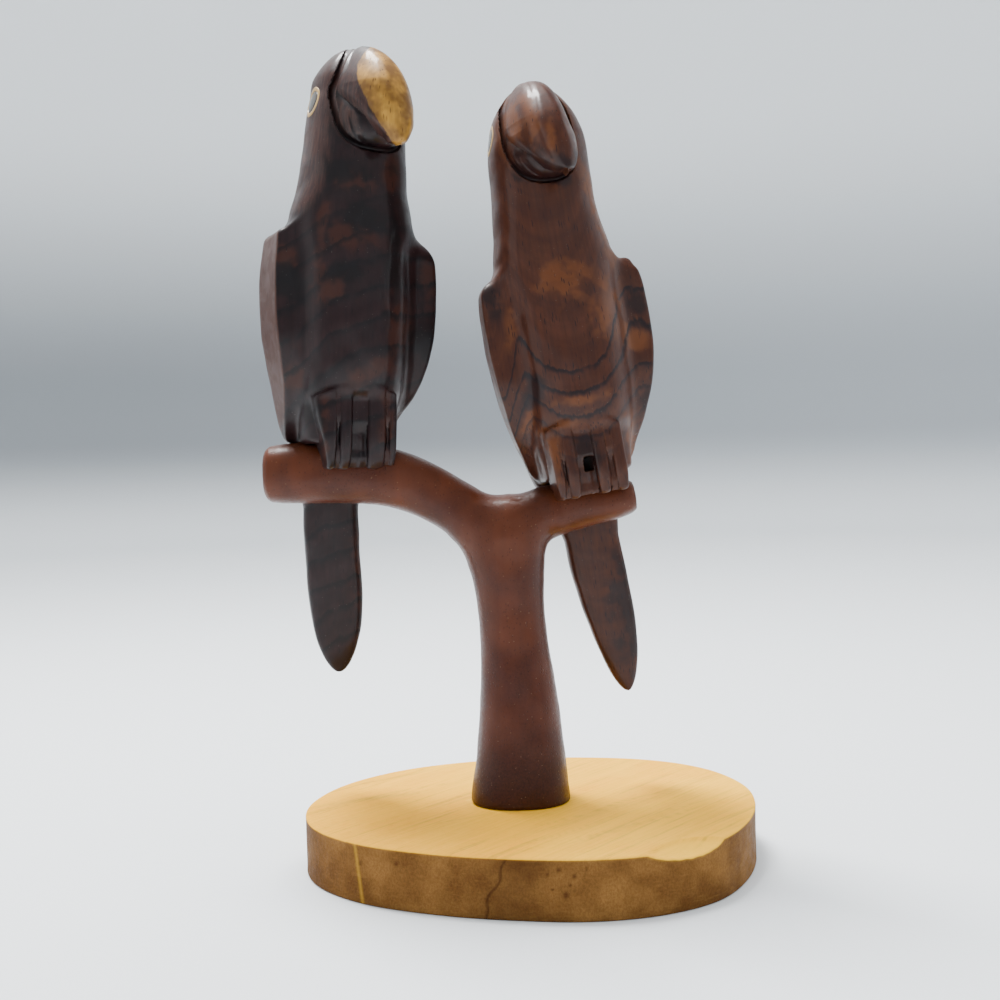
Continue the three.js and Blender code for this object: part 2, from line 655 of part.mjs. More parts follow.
function buildBranch(extra) {
  const left = solidOf(limb(LEFT_LIMB, extra, LIMB_STEPS));
  const right = solidOf(limb(RIGHT_LIMB, extra, SHORT_LIMB_STEPS));
  const crotch = solidOf(limb(CROTCH, extra, CROTCH_STEPS));
  const floor = new THREE.BoxGeometry(FLOOR_TOOL_SIDE, FLOOR_TOOL_SIDE, BASE_THICKNESS);
  floor.translate(0, 0, BASE_THICKNESS / 2);
  return left.add(right).add(crotch).subtract(solidOf(floor));
}

// The base: a sawn oval with a stretch of rim worn away at the front right by a shallow round scoop
const BASE_OUTLINE = [
  [-46, -2], [-43.2, -17], [-33.5, -28.8], [-18, -37], [0, -41.8], [14, -43], [27, -40.2],
  [38, -33.2], [46, -20.5], [50.3, -5], [50, 8.5], [44, 22.5], [32, 32.5], [13, 37.2], [-9, 36],
  [-27.5, 28.6], [-40.5, 15.5],
];

const BASE_STEPS = 64;
const CHIP_TOOL_HEIGHT = 6;
const CHIP_TOOL_SIDES = [24, 16];

function buildBase() {
  const points = BASE_OUTLINE.map(([x, y]) => new THREE.Vector3(x, y, 0));
  const curve = new THREE.CatmullRomCurve3(points, true, "centripetal");
  const rim = curve.getPoints(BASE_STEPS).slice(0, -1);
  const outline = new THREE.Shape(rim.map((point) => new THREE.Vector2(point.x, point.y)));
  const slab = new THREE.ExtrudeGeometry(outline, { depth: BASE_THICKNESS, bevelEnabled: false });
  const spread = 1 / Math.sqrt(1 - (1 - BASE_CHIP_DEPTH / CHIP_TOOL_HEIGHT) ** 2);
  const chip = new THREE.SphereGeometry(1, ...CHIP_TOOL_SIDES);
  chip.scale((spread * BASE_CHIP_WIDTH) / 2, spread * BASE_CHIP_REACH, CHIP_TOOL_HEIGHT);
  chip.rotateZ(THREE.MathUtils.degToRad(BASE_CHIP_TURN));
  chip.translate(...BASE_CHIP_PLACE, BASE_THICKNESS + CHIP_TOOL_HEIGHT - BASE_CHIP_DEPTH);
  return geometryOf(solidOf(slab).subtract(solidOf(chip)));
}

// Colour and roughness of each wood
const COLOURS = {
  base_slab: [0xd9ac5c, 0.55],
  branch_perch: [0x87452f, 0.5],
  left_parrot: [0x3a2019, 0.22],
  right_parrot: [0x65392a, 0.24],
  ring: [0xc8ae7c, 0.35],
  pupil: [0x2a211c, 0.25],
};

function namedMesh(name, geometry, key) {
  const [color, roughness] = COLOURS[key];
  const material = new THREE.MeshStandardMaterial({ color, roughness, metalness: 0 });
  const mesh = new THREE.Mesh(geometry, material);
  mesh.name = name;
  return mesh;
}

const group = new THREE.Group();
const branch = buildBranch(0);
const branchTool = buildBranch(PERCH_CLEARANCE);
group.add(namedMesh("base_slab", buildBase(), "base_slab"));
group.add(namedMesh("branch_perch", geometryOf(branch), "branch_perch"));
group.add(...buildParrot("left_parrot", LEFT_PARROT, branchTool));
group.add(...buildParrot("right_parrot", RIGHT_PARROT, branchTool));

// The frame's origin goes to the middle of the bounding box, at the underside
const box = new THREE.Box3().setFromObject(group, true);
const middle = box.getCenter(new THREE.Vector3());
group.children.forEach((mesh) => mesh.position.set(-middle.x, -middle.y, -box.min.z));

export default group;
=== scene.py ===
"""Two carved parrots on a forked branch over an oval wooden base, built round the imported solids.

Shapes are worked out in millimetres round the axis of the post, +Z up, the birds facing -Y,
and become metres in the frame of the solids when a piece is made.
"""
import math

import bmesh
import bpy
import numpy as np
from mathutils import Matrix, Vector


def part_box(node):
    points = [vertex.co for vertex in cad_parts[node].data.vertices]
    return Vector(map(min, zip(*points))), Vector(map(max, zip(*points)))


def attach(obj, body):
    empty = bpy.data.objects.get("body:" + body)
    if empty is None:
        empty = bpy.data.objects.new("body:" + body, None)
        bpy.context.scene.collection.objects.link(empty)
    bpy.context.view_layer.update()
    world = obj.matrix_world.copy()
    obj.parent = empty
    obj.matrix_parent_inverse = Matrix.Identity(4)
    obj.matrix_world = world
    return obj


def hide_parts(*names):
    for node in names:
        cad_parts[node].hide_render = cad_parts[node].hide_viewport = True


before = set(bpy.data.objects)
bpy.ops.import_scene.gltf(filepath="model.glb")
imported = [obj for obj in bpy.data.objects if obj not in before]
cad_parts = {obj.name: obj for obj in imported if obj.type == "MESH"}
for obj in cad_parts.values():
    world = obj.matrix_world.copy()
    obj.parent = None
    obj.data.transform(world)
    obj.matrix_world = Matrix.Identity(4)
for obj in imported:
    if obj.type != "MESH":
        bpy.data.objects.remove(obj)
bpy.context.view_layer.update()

bl_info = {
    "name": "Carved Parrot Pair",
    "version": (1, 0, 0),
    "blender": (4, 5, 0),
    "location": "3D View > Sidebar > Parrot Pair",
    "description": "Builds two carved parrots on a forked branch over an oval wooden base",
    "category": "Object",
}

MM = 0.001
TAB = "Parrot Pair"

# The post's axis in the frame of the solids, in metres, found from the branch's own box
LEFT_ARM_END = -53.4
branch_low, branch_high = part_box("branch_perch")
POST_AXIS = Vector((branch_low.x - LEFT_ARM_END * MM, (branch_low.y + branch_high.y) / 2, 0))
BASE_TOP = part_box("base_slab")[1].z / MM


# Curves and soft joins

def profile(*stations):
    """A smooth curve through stations (place, value), flat at its peaks, constant outside them."""
    xs, ys = (np.array(column, float) for column in zip(*stations))
    steps = np.diff(ys) / np.diff(xs)
    slopes = np.zeros(len(xs))
    slopes[0], slopes[-1] = steps[0], steps[-1]
    before, after = steps[:-1], steps[1:]
    same = before * after > 0
    slopes[1:-1][same] = (2 * before * after)[same] / (before + after)[same]

    def curve(x):
        x = np.clip(x, xs[0], xs[-1])
        i = np.clip(np.searchsorted(xs, x, side="right") - 1, 0, len(xs) - 2)
        span = xs[i + 1] - xs[i]
        t = (x - xs[i]) / span
        rise = ys[i] * (1 + 2 * t) * (1 - t) ** 2 + ys[i + 1] * t * t * (3 - 2 * t)
        return rise + span * t * (1 - t) * (slopes[i] * (1 - t) - slopes[i + 1] * t)

    return curve


def smooth_step(start, stop, x):
    t = np.clip((x - start) / (stop - start), 0, 1)
    return t * t * (3 - 2 * t)


def bump(x, width):
    """A rounded ridge that is 1 at 0 and fades over a width."""
    return np.exp(-(x / width) ** 2)


def soft_union(a, b, radius):
    """The lower of two distances, rounded over a radius, so that two forms run together."""
    h = np.maximum(radius - np.abs(a - b), 0) / radius
    return np.minimum(a, b) - h * h * radius / 4


def soft_meet(a, b, radius):
    """The higher of two distances, rounded over a radius, so that a corner is eased."""
    return -soft_union(-a, -b, radius)


def spline(points, per_span, closed=False):
    """A centripetal curve through points, with the same number of places in each span."""
    points = np.array(points, float)
    if closed:
        ring = np.vstack([points[-1:], points, points[:2]])
    else:
        ring = np.vstack([2 * points[0] - points[1], points, 2 * points[-1] - points[-2]])
    p0, p1, p2, p3 = ring[:-3], ring[1:-2], ring[2:-1], ring[3:]
    d0, d1, d2 = (
        np.linalg.norm(b - a, axis=1)[:, None] ** 0.5 for a, b in ((p0, p1), (p1, p2), (p2, p3))
    )
    leave = ((p1 - p0) / d0 - (p2 - p0) / (d0 + d1) + (p2 - p1) / d1) * d1
    arrive = ((p2 - p1) / d1 - (p3 - p1) / (d1 + d2) + (p3 - p2) / d2) * d1
    t = np.linspace(0, 1, per_span, endpoint=False)[:, None, None]
    curve = (
        (2 * t**3 - 3 * t**2 + 1) * p1 + (t**3 - 2 * t**2 + t) * leave
        + (3 * t**2 - 2 * t**3) * p2 + (t**3 - t**2) * arrive
    )
    curve = curve.transpose(1, 0, 2).reshape(-1, points.shape[1])
    return curve if closed else np.vstack([curve, points[-1:]])


def knife_marks(x, y, z, height):
    """The low unevenness that a knife and sandpaper leave on a hand-made form."""
    wave = np.sin(0.52 * x + 0.31 * z + 1.1) * np.sin(0.47 * y - 0.23 * z + 0.4)
    wave = wave + 0.7 * np.sin(0.34 * x - 0.57 * z + 2.3) * np.sin(0.61 * y + 0.19 * x)
    return height * (wave + 0.5 * np.sin(0.93 * z + 0.4 * x) * np.sin(0.71 * x - 0.5 * y + 0.8))


# Surfaces from distance fields

def levels(*runs):
    """Grid lines from runs (start, stop, step) that follow each other."""
    lines = [
        np.linspace(start, stop, max(1, round((stop - start) / step)), endpoint=False)
        for start, stop, step in runs
    ]
    return np.concatenate([*lines, [runs[-1][1]]])


SLAB = 12
PROBE = 0.06


def slope_of(field, points):
    """The field's gradient at points."""
    slope = np.empty_like(points)
    for axis in range(3):
        step = np.zeros(3)
        step[axis] = PROBE
        slope[:, axis] = field(*(points + step).T) - field(*(points - step).T)
    return slope / (2 * PROBE)


def carve(field, xs, ys, zs, ease=3):
    """The skin of a field on an uneven grid: points, outward normals and four-sided faces."""
    values = np.concatenate([
        field(xs[:, None, None], ys[None, :, None], zs[None, None, k:k + SLAB])
        for k in range(0, len(zs), SLAB)
    ], axis=2).astype(np.float32)
    inside = values < 0
    lines = (xs.astype(np.float32), ys.astype(np.float32), zs.astype(np.float32))
    cells = tuple(n - 1 for n in values.shape)
    total = np.zeros((3, *cells), np.float32)
    count = np.zeros(cells, np.float32)
    crossings = []
    for axis in range(3):
        low = [slice(None)] * 3
        high = [slice(None)] * 3
        low[axis], high[axis] = slice(0, -1), slice(1, None)
        low, high = tuple(low), tuple(high)
        cut = inside[low] != inside[high]
        with np.errstate(divide="ignore", invalid="ignore"):
            t = np.where(cut, values[low] / (values[low] - values[high]), 0)
        crossings.append((cut, inside[low]))
        others = [a for a in range(3) if a != axis]
        for da in (0, 1):
            for db in (0, 1):
                part = [slice(None)] * 3
                part[others[0]] = slice(da, cells[others[0]] + da)
                part[others[1]] = slice(db, cells[others[1]] + db)
                part = tuple(part)
                hit = cut[part]
                count += hit
                for c in range(3):
                    shape = [1, 1, 1]
                    shape[c] = -1
                    line = lines[c]
                    if c == axis:
                        at = line[:-1].reshape(shape) + t[part] * np.diff(line).reshape(shape)
                    else:
                        shift = da if c == others[0] else db
                        at = line[shift:cells[c] + shift].reshape(shape)
                    total[c] += np.where(hit, at, 0)
    used = count > 0
    number = np.full(cells, -1, np.int64)
    number[used] = np.arange(used.sum())
    points = (total[:, used] / count[used]).T.astype(float)
    faces = []
    for axis, (cut, low_inside) in enumerate(crossings):
        b, c = (axis + 1) % 3, (axis + 2) % 3
        place = np.argwhere(cut)
        place = place[
            (place[:, b] > 0) & (place[:, b] < cells[b]) & (place[:, c] > 0) & (place[:, c] < cells[c])
        ]
        corner = []
        for sb, sc in ((-1, -1), (0, -1), (0, 0), (-1, 0)):
            at = place.copy()
            at[:, b] += sb
            at[:, c] += sc
            corner.append(number[tuple(at.T)])
        quad = np.stack(corner, axis=1)
        turned = ~low_inside[tuple(place.T)]
        quad[turned] = quad[turned][:, ::-1]
        faces.append(quad)
    faces = np.concatenate(faces)
    reach = 0.5 * min(np.diff(xs).min(), np.diff(zs).min())
    for _ in range(ease):
        slope = slope_of(field, points)
        size = np.maximum((slope**2).sum(axis=1), 0.04)
        step = np.clip(field(*points.T) / size, -reach, reach)
        points -= step[:, None] * slope
    slope = slope_of(field, points)
    length = np.linalg.norm(slope, axis=1)
    return points, slope / length[:, None], faces, length


def relief(field, points, normals, length, reach):
    """Masks from 0 to 1 of how deep in a hollow and how much on an edge each point lies."""
    outward = field(*(points + reach * normals).T) / (reach * length)
    inward = -field(*(points - reach * normals).T) / (reach * length)
    return np.clip(1 - outward, 0, 1), np.clip(1 - inward, 0, 1)


# The branch

LEFT_LIMB = [
    (LEFT_ARM_END, 84.1, 4.9, 4.9), (-51.8, 84.1, 6.3, 6.2), (-44, 84.1, 6.6, 6.6),
    (-34, 83.8, 6.5, 6.5), (-25.6, 82.5, 6.3, 6.4), (-20, 80.4, 6.0, 6.3), (-14.6, 77.5, 5.8, 6.3),
    (-10.2, 74.4, 5.9, 6.4), (-6, 70.4, 6.6, 6.6), (-3, 65.4, 7.4, 6.8), (-1.6, 59, 7.1, 6.9),
    (-0.6, 48, 7.3, 7.2), (0.2, 34, 8.5, 8.1), (0.35, 22, 9.7, 9.0), (0.1, 12, 10.9, 10.0),
    (0.1, 10, 11.1, 10.2),
]
RIGHT_LIMB = [
    (-1.1, 50, 2.4, 2.4), (-0.8, 57, 4.6, 4.7), (-0.5, 63.5, 5.9, 6.1),
    (0.6, 68.8, 6.1, 6.4), (3.2, 72.4, 5.7, 6.3),
    (7.2, 74.4, 5.6, 6.0), (12.2, 75.4, 5.3, 5.6), (18.7, 76.3, 4.6, 5.2), (24.9, 77.3, 3.9, 4.6),
    (26.4, 77.5, 2.9, 3.5),
]
CROTCH = [
    (-9, 73.6, 2.6, 2.8), (-5, 72.4, 4.6, 5.0), (-1.3, 71.8, 5.4, 5.8), (2.5, 72.3, 4.6, 5.0),
    (6, 73.8, 2.6, 2.8),
]
LIMB_POWER = 2 / 0.88
LIMB_SPACING = 0.4
LIMB_SMOOTHING = 4
FORK_BLEND = 5
END_ROUNDING = 1.2
BLOCK = 20000


def eased(values, reach):
    """Values smoothed along a row, with both ends kept."""
    spread = np.exp(-np.linspace(-2, 2, 2 * reach + 1) ** 2)
    padded = np.concatenate([
        2 * values[0] - values[reach:0:-1], values, 2 * values[-1] - values[-2:-reach - 2:-1]
    ])
    return np.convolve(padded, spread / spread.sum(), "valid")


class Limb:
    """One limb of the branch: oval sections along a curve, cut off square at both ends."""

    def __init__(self, stations):
        stations = np.array(stations)
        fine = spline(stations[:, :2], 60)
        run = np.concatenate([[0], np.cumsum(np.linalg.norm(np.diff(fine, axis=0), axis=1))])
        places = np.linspace(0, run[-1], round(run[-1] / LIMB_SPACING))
        reach = round(LIMB_SMOOTHING / LIMB_SPACING)
        self.path = np.stack([eased(np.interp(places, run, fine[:, c]), reach) for c in (0, 1)], axis=1)
        along = np.gradient(self.path, axis=0)
        self.spacing = np.linalg.norm(along, axis=1)
        self.along = along / self.spacing[:, None]
        joints = run[np.arange(len(stations)) * 60]
        wide = profile(*zip(joints, stations[:, 2]))(places)
        deep = profile(*zip(joints, stations[:, 3]))(places)
        tip = np.minimum(1, np.minimum(places, places[-1] - places) / 4)
        self.wide = tip * eased(wide, reach) + (1 - tip) * wide
        self.deep = tip * eased(deep, reach) + (1 - tip) * deep

    def form(self, across, y, wide, deep):
        k = (np.abs(across / wide) ** LIMB_POWER + np.abs(y / deep) ** LIMB_POWER) ** (1 / LIMB_POWER)
        return (k - 1) * np.minimum(wide, deep)

    def field(self, x, y, z):
        px, pz = np.broadcast_arrays(x, z)
        flat = np.stack([px.ravel(), pz.ravel()], axis=1)
        found = np.empty(len(flat), int)
        for k in range(0, len(flat), BLOCK):
            away = flat[k:k + BLOCK, None] - self.path
            found[k:k + BLOCK] = (away**2).sum(axis=2).argmin(axis=1)
        away = flat - self.path[found]
        run = (away * self.along[found]).sum(axis=1)
        across = away[:, 0] * self.along[found, 1] - away[:, 1] * self.along[found, 0]
        last = len(self.path) - 1
        place = np.clip(found + run / self.spacing[found], 0, last)
        past = np.where(found == 0, -run, np.where(found == last, run, -9))
        steps = np.arange(last + 1)
        across, past, wide, deep = (v.reshape(px.shape) for v in (
            across, past, np.interp(place, steps, self.wide), np.interp(place, steps, self.deep)))
        return soft_meet(self.form(across, y, wide, deep), past, END_ROUNDING)

    def perch_field(self, x, y, z):
        """The same limb where it lies nearly level, found from x alone."""
        order = np.argsort(self.path[:, 0])
        lines = self.path[order, 0]
        level, slant, wide, deep = (
            np.interp(x, lines, row[order])
            for row in (self.path[:, 1], np.abs(self.along[:, 0]), self.wide, self.deep))
        return self.form((z - level) * slant, y, wide, deep)


left_limb, right_limb, crotch = Limb(LEFT_LIMB), Limb(RIGHT_LIMB), Limb(CROTCH)


def branch_field(x, y, z):
    fork = soft_union(left_limb.field(x, y, z), right_limb.field(x, y, z), FORK_BLEND)
    return soft_union(fork, crotch.field(x, y, z), FORK_BLEND)


SANDED_OFF = 0.05
END_INSET = 0.15
FOOT_GAP = 0.03
FOOT_ROUNDING = 0.5


def branch_skin(x, y, z):
    """The branch as sanded by hand, standing on the base."""
    form = branch_field(x, y, z) + SANDED_OFF + knife_marks(1.2 * z, x, y, SANDED_OFF)
    form = soft_meet(form, LEFT_ARM_END + END_INSET - x, 0.8)
    return soft_meet(form, BASE_TOP + FOOT_GAP - z, FOOT_ROUNDING)


# The parrots: heights are measured up from the perch, sway lists (height, sideways shift)

CROWN = 90.2
SHOULDER = 51
NECK_FOOT, NECK_TOP = 50, 66

LEFT_PARROT = {
    "piece": "dark_parrot", "node": "left_parrot", "slot": "dark_rosewood",
    "perch": (-35.4, 0, 84.1), "lean": 1.8, "turn": 20, "head_twist": 14,
    "sway": profile(
        (-44, 0.8), (-30, 0.0), (-15, -1.2), (-5, -1.6), (8, -0.8), (25, 0.15), (40, 0.15),
        (51, 0.15), (56, 0.4), (62, 1.0), (76, 1.5), (84, 1.4), (CROWN, 0.9)),
    "wing_scale": 1.015, "side_flare": 1.3, "shoulder_lift": 1.0, "back_slope": 0.25,
    "right_rounding": 4.2, "tip_trim": (0, 1.5),
    "cheeks": (
        profile(
            (50, 0), (56, 0.5), (63, 0.4), (70, 0.2), (79.5, -0.3), (84.5, 0.6), (88, 0.5),
            (CROWN, 0.2)),
        profile((47, 0), (52, 0.8), (56, 0.5), (61, 0), (66, 0), (90, 0))),
    "beak_shift": 0.5, "beak_scale": 1, "hook_bend": 0.6, "chin_pit": 0,
    "groove": {"left": 8.6, "right": 7.2, "left_power": 3.2, "right_power": 2.6, "crown_power": 1.6,
        "drop": 10.2, "rise": 13},
    "toes": ((-7, -4.8), (-4.3, -1.5), (1.75, 5.8), (6.3, 8)), "toe_bottom": 0.7, "toe_flare": 2.6,
    "tail_gap": 7.3, "tail_taper": (-26, -45.4), "eye_height": 78.4, "eye_place": 2.4, "band_rise": 0.06,
    "fine_x": (-10.6, 13.2), "hole": None, "knob": None,
}
RIGHT_PARROT = {
    "piece": "red_parrot", "node": "right_parrot", "slot": "red_rosewood",
    "perch": (18.7, 0, 76.3), "lean": -8.9, "turn": 9, "head_twist": 2.5,
    "sway": profile(
        (-42, 1.35), (-30, 0.6), (-18, -0.55), (-11, -1.0), (0, -1.4), (13, -1.7), (25, -1.1),
        (34, -0.85), (57, -0.95), (63, -1.0), (68, -0.5), (78, -0.1), (84, 0.1), (88, 0.3)),
    "wing_scale": 1.0, "side_flare": 0.2, "shoulder_lift": 0.0, "back_slope": 0.6,
    "right_rounding": 2.2, "tip_trim": (0.6, 0.7),
    "cheeks": (
        profile((64, 0), (70, 0.35), (80, 0.45), (85, 0.8), (88, 0.8), (CROWN, 0.3)),
        profile((62, 0.2), (66, 0.3), (72, 0.5), (76, 0.8), (80, 1.1), (84, 1.1), (88, 1.1), (CROWN, 0.4))),
    "beak_shift": -0.35, "beak_scale": 0.95, "hook_bend": 1.8, "chin_pit": 0.2,
    "groove": {"left": 8.1, "right": 7.0, "left_power": 2.3, "right_power": 2.6, "crown_power": 2,
        "drop": 9.6, "rise": 13.8},
    "toes": ((-10.4, -8.6), (-8.1, -5.4), (-1.7, 1.2), (2.2, 5)), "toe_bottom": 2, "toe_flare": 0.6,
    "tail_gap": 6.3, "tail_taper": (-12, -43.7), "eye_height": 80.1, "eye_place": 1.2, "band_rise": 0.28,
    "fine_x": (-11.2, 8.8), "hole": (-4.0, -1.9, 7.3, 10.4), "knob": (15.3, -2.2, 49.6),
}
BELLY_BOTTOM = 6
BEAK_TIP = 66.6
BEAK_BASE = 3
LEG_TOP = 18.6
LEG_BACK = -2

trunk_half = profile(
    (6, 9.4), (18, 11.2), (34, 11.9), (46, 12.2), (51, 12.8), (54, 12.5), (60, 11.3), (70, 10.3),
    (76, 9.9), (81, 8.7), (85, 6.8), (88, 4.4), (89.7, 2.1), (CROWN, 0.6))
trunk_front = profile(
    (6, 7.6), (14, 8.6), (17.5, 11.2), (24, 12.6), (34, 13.2), (44, 12.2), (54, 10.8), (64, 10.6),
    (75, 9.6), (83, 7.6), (87, 5.2), (89.7, 2.4), (CROWN, 0.6))
trunk_back = profile(
    (6, 12.2), (20, 13.2), (36, 13.2), (48, 12), (60, 11.1), (76, 11.4), (83, 11.2), (87, 8.8),
    (89.7, 4), (CROWN, 0.6))
wing_half = profile(
    (4, 9.8), (8, 12.2), (13, 13.8), (18, 15.1), (24, 16.6), (30, 17.5), (36, 17.9), (43, 17.8),
    (SHOULDER, 17.0))
wing_ridge = profile((6, 5.5), (12, 1.0), (20, -3.2), (30, -5.0), (44, -4.8), (SHOULDER, -3.8))
wing_back = profile((6, 12.2), (22, 13.8), (40, 14.0), (SHOULDER, 11.6))
upper_beak_left = profile(
    (BEAK_TIP, 1.0), (67.4, 1.7), (68.4, 2.3), (69.2, 3.0), (70.7, 4.25), (72.1, 5.15), (73.5, 5.85),
    (75.8, 6.7), (78, 7.3), (79.4, 7.9), (80.4, 8.5))
upper_beak_right = profile(
    (BEAK_TIP, 1.0), (67.4, 1.8), (68.5, 2.5), (70.3, 3.5), (72.5, 4.5), (74.2, 5.2), (76, 6.0),
    (78.4, 6.75), (80, 6.9))
upper_beak_front = profile(
    (BEAK_TIP, 18.2), (68.5, 19.1), (72, 19.3), (76, 18.5), (80, 16.9), (84, 14.2), (87, 10.9),
    (89, 7.4), (90.1, 4.0))
upper_beak_edge = profile(
    (BEAK_TIP, 16.8), (68.5, 16.9), (70.8, 16.6), (72.1, 15.9), (73.1, 15.0), (74.7, 13.6), (75.9, 12.4),
    (77.35, 10.6), (78.6, 8.4), (80, 6.0), (83, 4.2), (86, 2.4), (90.1, 0.8))
upper_beak_back = profile((BEAK_TIP, 16.2), (68.5, 15.0), (70.3, 12.5), (72.5, 8.0), (75, BEAK_BASE))
beak_band = profile((BEAK_TIP, 0.9), (70, 2.1), (74, 2.9), (79, 2.75), (85, 1.8), (89, 0.9))
beak_bend = profile((BEAK_TIP, 1.0), (72, 0.5), (78, 0))
lower_beak_front = profile(
    (68.2, 13.2), (69.8, 14.3), (72.4, 14.5), (74, 13.4), (75.5, 11.7), (77, 9.7), (78, 8.1), (80, 5.2))
tail_root = profile((-8, 6.15), (0, 7.6), (6, 10.2), (13, 11.9))
tail_thickness = profile((-45, 1.8), (-38, 3.2), (-20, 4.6), (-4, 5.4), (13, 6.2))
toe_front = profile(
    (0.7, 8.8), (3, 10.0), (8, 10.7), (12, 10.7), (15, 10.6), (17.2, 10.9), (LEG_TOP, 11.0))


def twisted(bird, x, y, s, way=1):
    """Places turned by the twist of the bird's neck, or back again where way is -1."""
    turn = way * math.radians(bird["head_twist"]) * smooth_step(NECK_FOOT, NECK_TOP, s)
    c, d = np.cos(turn), np.sin(turn)
    return c * x - d * y, c * y + d * x


def straightened(bird, x, y, s):
    """From the carved bird back to a straight one, without the sway and the twist of its neck."""
    return twisted(bird, x - bird["sway"](s), y, s, -1)


def oval(x, y, half, front, back, power):
    reach = np.where(y < 0, front, back)
    k = (np.abs(x / half) ** power + np.abs(y / reach) ** power) ** (1 / power)
    return (k - 1) * np.minimum(half, reach)


def wing_field(bird, x, y, s):
    half = wing_half(s) * bird["wing_scale"]
    left = x < 0
    flare = np.where(left, bird["side_flare"] * np.maximum(0, 6 - y) * 0.09, 0)
    side = np.abs(x) - half + flare
    face = wing_ridge(s) - 0.15 * (half - np.abs(x)) - y
    back = y - wing_back(s) + bird["back_slope"] * np.abs(x)
    side = side + np.where(left, *bird["tip_trim"]) * bump(s - 11, 4.5)
    lift = np.where(left, bird["shoulder_lift"], 0.0)
    rounding = np.where(left, 2.2 - lift, bird["right_rounding"])
    top = s - SHOULDER - lift + 0.42 * (np.abs(x) - 12.6)
    section = soft_meet(soft_meet(side, face, 0.7), back, 3.0)
    return soft_meet(section, top, rounding)


def body_field(bird, x, y, s):
    cheek = np.where(x < 0, bird["cheeks"][0](s), bird["cheeks"][1](s))
    trunk = oval(x, y, trunk_half(s) + cheek, trunk_front(s), trunk_back(s), 2.35)
    body = soft_union(trunk, wing_field(bird, x, y, s), 2.4)
    return soft_meet(soft_meet(body, s - CROWN, 0.4), BELLY_BOTTOM - s, 1.2)


GROOVE_MIDDLE = 77.5
GROOVE_SHOULDER = 0.42


def groove_shape(bird, x, s):
    """Half width and power of the groove on the side of each place, and how far up or down it lies."""
    groove, below = bird["groove"], s < GROOVE_MIDDLE
    half = np.where(x < 0, groove["left"], groove["right"])
    lower = np.where(x < 0, groove["left_power"], groove["right_power"])
    power = np.where(below, lower, groove["crown_power"])
    return half, power, np.where(below, groove["drop"], groove["rise"])


def beak_half(bird, x, s):
    """Half the width of the beak where it meets the groove, on the side of each place."""
    half, power, reach = groove_shape(bird, x, s)
    v = np.abs(s - GROOVE_MIDDLE) / reach
    return np.maximum(half * np.maximum(1 - v**power, 1e-4) ** (1 / power) - GROOVE_SHOULDER, 0.3)


def upper_beak_field(bird, x, y, s):
    """The upper beak: two flanks beside a raised band, hooked over the lower beak at its tip."""
    half = np.where(x < 0, upper_beak_left(s), upper_beak_right(s))
    half = soft_union(half, beak_half(bird, x, s), 1.5)
    front, edge = upper_beak_front(s), upper_beak_edge(s)
    across = np.abs(x)
    u = np.minimum(across / half, 1.15)
    side = across - beak_band(s)
    band = bird["band_rise"] * smooth_step(0.5, -1.0, side)
    crease = 0.5 * bird["band_rise"] * bump(side - 0.1, 0.35) * smooth_step(BEAK_TIP, 71, s) * (x < 0)
    inset = half - across
    rim = 0.12 * bump(inset - 0.75, 0.3) * smooth_step(78.6, 76.5, s) * smooth_step(70, 73, s)
    power = 2.6 + 0.7 * smooth_step(76, 80, s)
    reach = edge + (front - edge) * (1 - u**power) + band - crease - rim
    steep = np.sqrt(1 + (power * (front - edge) * u ** (power - 1) / half) ** 2)
    skin = soft_meet((-y - reach) / steep, -inset, 0.35)
    skin = soft_meet(skin, BEAK_TIP - s, 1.2)
    return np.maximum(np.maximum(skin, y + upper_beak_back(s)), s - 90.1)


def lower_beak_field(bird, x, y, s):
    half, deep = beak_half(bird, x, s), lower_beak_front(s) - BEAK_BASE
    ahead = np.maximum(-BEAK_BASE - y, 0)
    k = (np.abs(x / half) ** 3.1 + (ahead / deep) ** 3.1) ** (1 / 3.1)
    lip = bump(half - np.abs(x) - 1.0, 0.3) * smooth_step(74.5, 72.5, s)
    pit = bird["chin_pit"] * bump(x + 0.6, 1.8) * bump(s - 71.4, 1.0)
    skin = (k - 1) * np.minimum(half, deep) + 0.22 * lip + pit
    bottom = GROOVE_MIDDLE - bird["groove"]["drop"] + GROOVE_SHOULDER
    return np.maximum(soft_meet(np.maximum(skin, y + BEAK_BASE), bottom - s, 0.8), s - 80)


def head_groove(bird, x, y, s, body):
    """The knife-cut groove that parts the beak from the head, open over the crown."""
    half, power, reach = groove_shape(bird, x, s)
    below = s < GROOVE_MIDDLE
    u, v = np.abs(x) / half + 1e-6, np.abs(s - GROOVE_MIDDLE) / reach + 1e-6
    k = (u**power + v**power) ** (1 / power)
    ring = (k - 1) * k ** (power - 1) / np.hypot(u ** (power - 1) / half, v ** (power - 1) / reach)
    width = 0.40 * smooth_step(0.1, 0.35, np.where(below, 1, u)) + 0.16 * smooth_step(0.5, 0.9, v * below)
    return np.maximum(np.sqrt(ring**2 + (0.6 * body) ** 2) - width, y + 0.5)


def tail_field(bird, x, y, s):
    full, tip = bird["tail_taper"]
    taper = np.clip((full - s) / (full - tip), 0, 1)
    half = tail_root(s) * np.maximum(1 - taper * taper, 1e-4) ** 0.55
    thick = tail_thickness(s) / 2
    middle = bird["tail_gap"] + tail_thickness(0) / 2 + 2.2 * np.maximum(0, -s) / -tip
    away = np.abs(y - middle) / thick
    k = (np.abs(x / half) ** 3.3 + away**3.3) ** 0.3
    vein = 0.25 * bump(x, 0.5) * smooth_step(2, -6, s)
    skin = (k - 1) * np.minimum(half, thick) + vein * (y > middle)
    return np.maximum(skin, np.maximum(tip - s, s - 13))


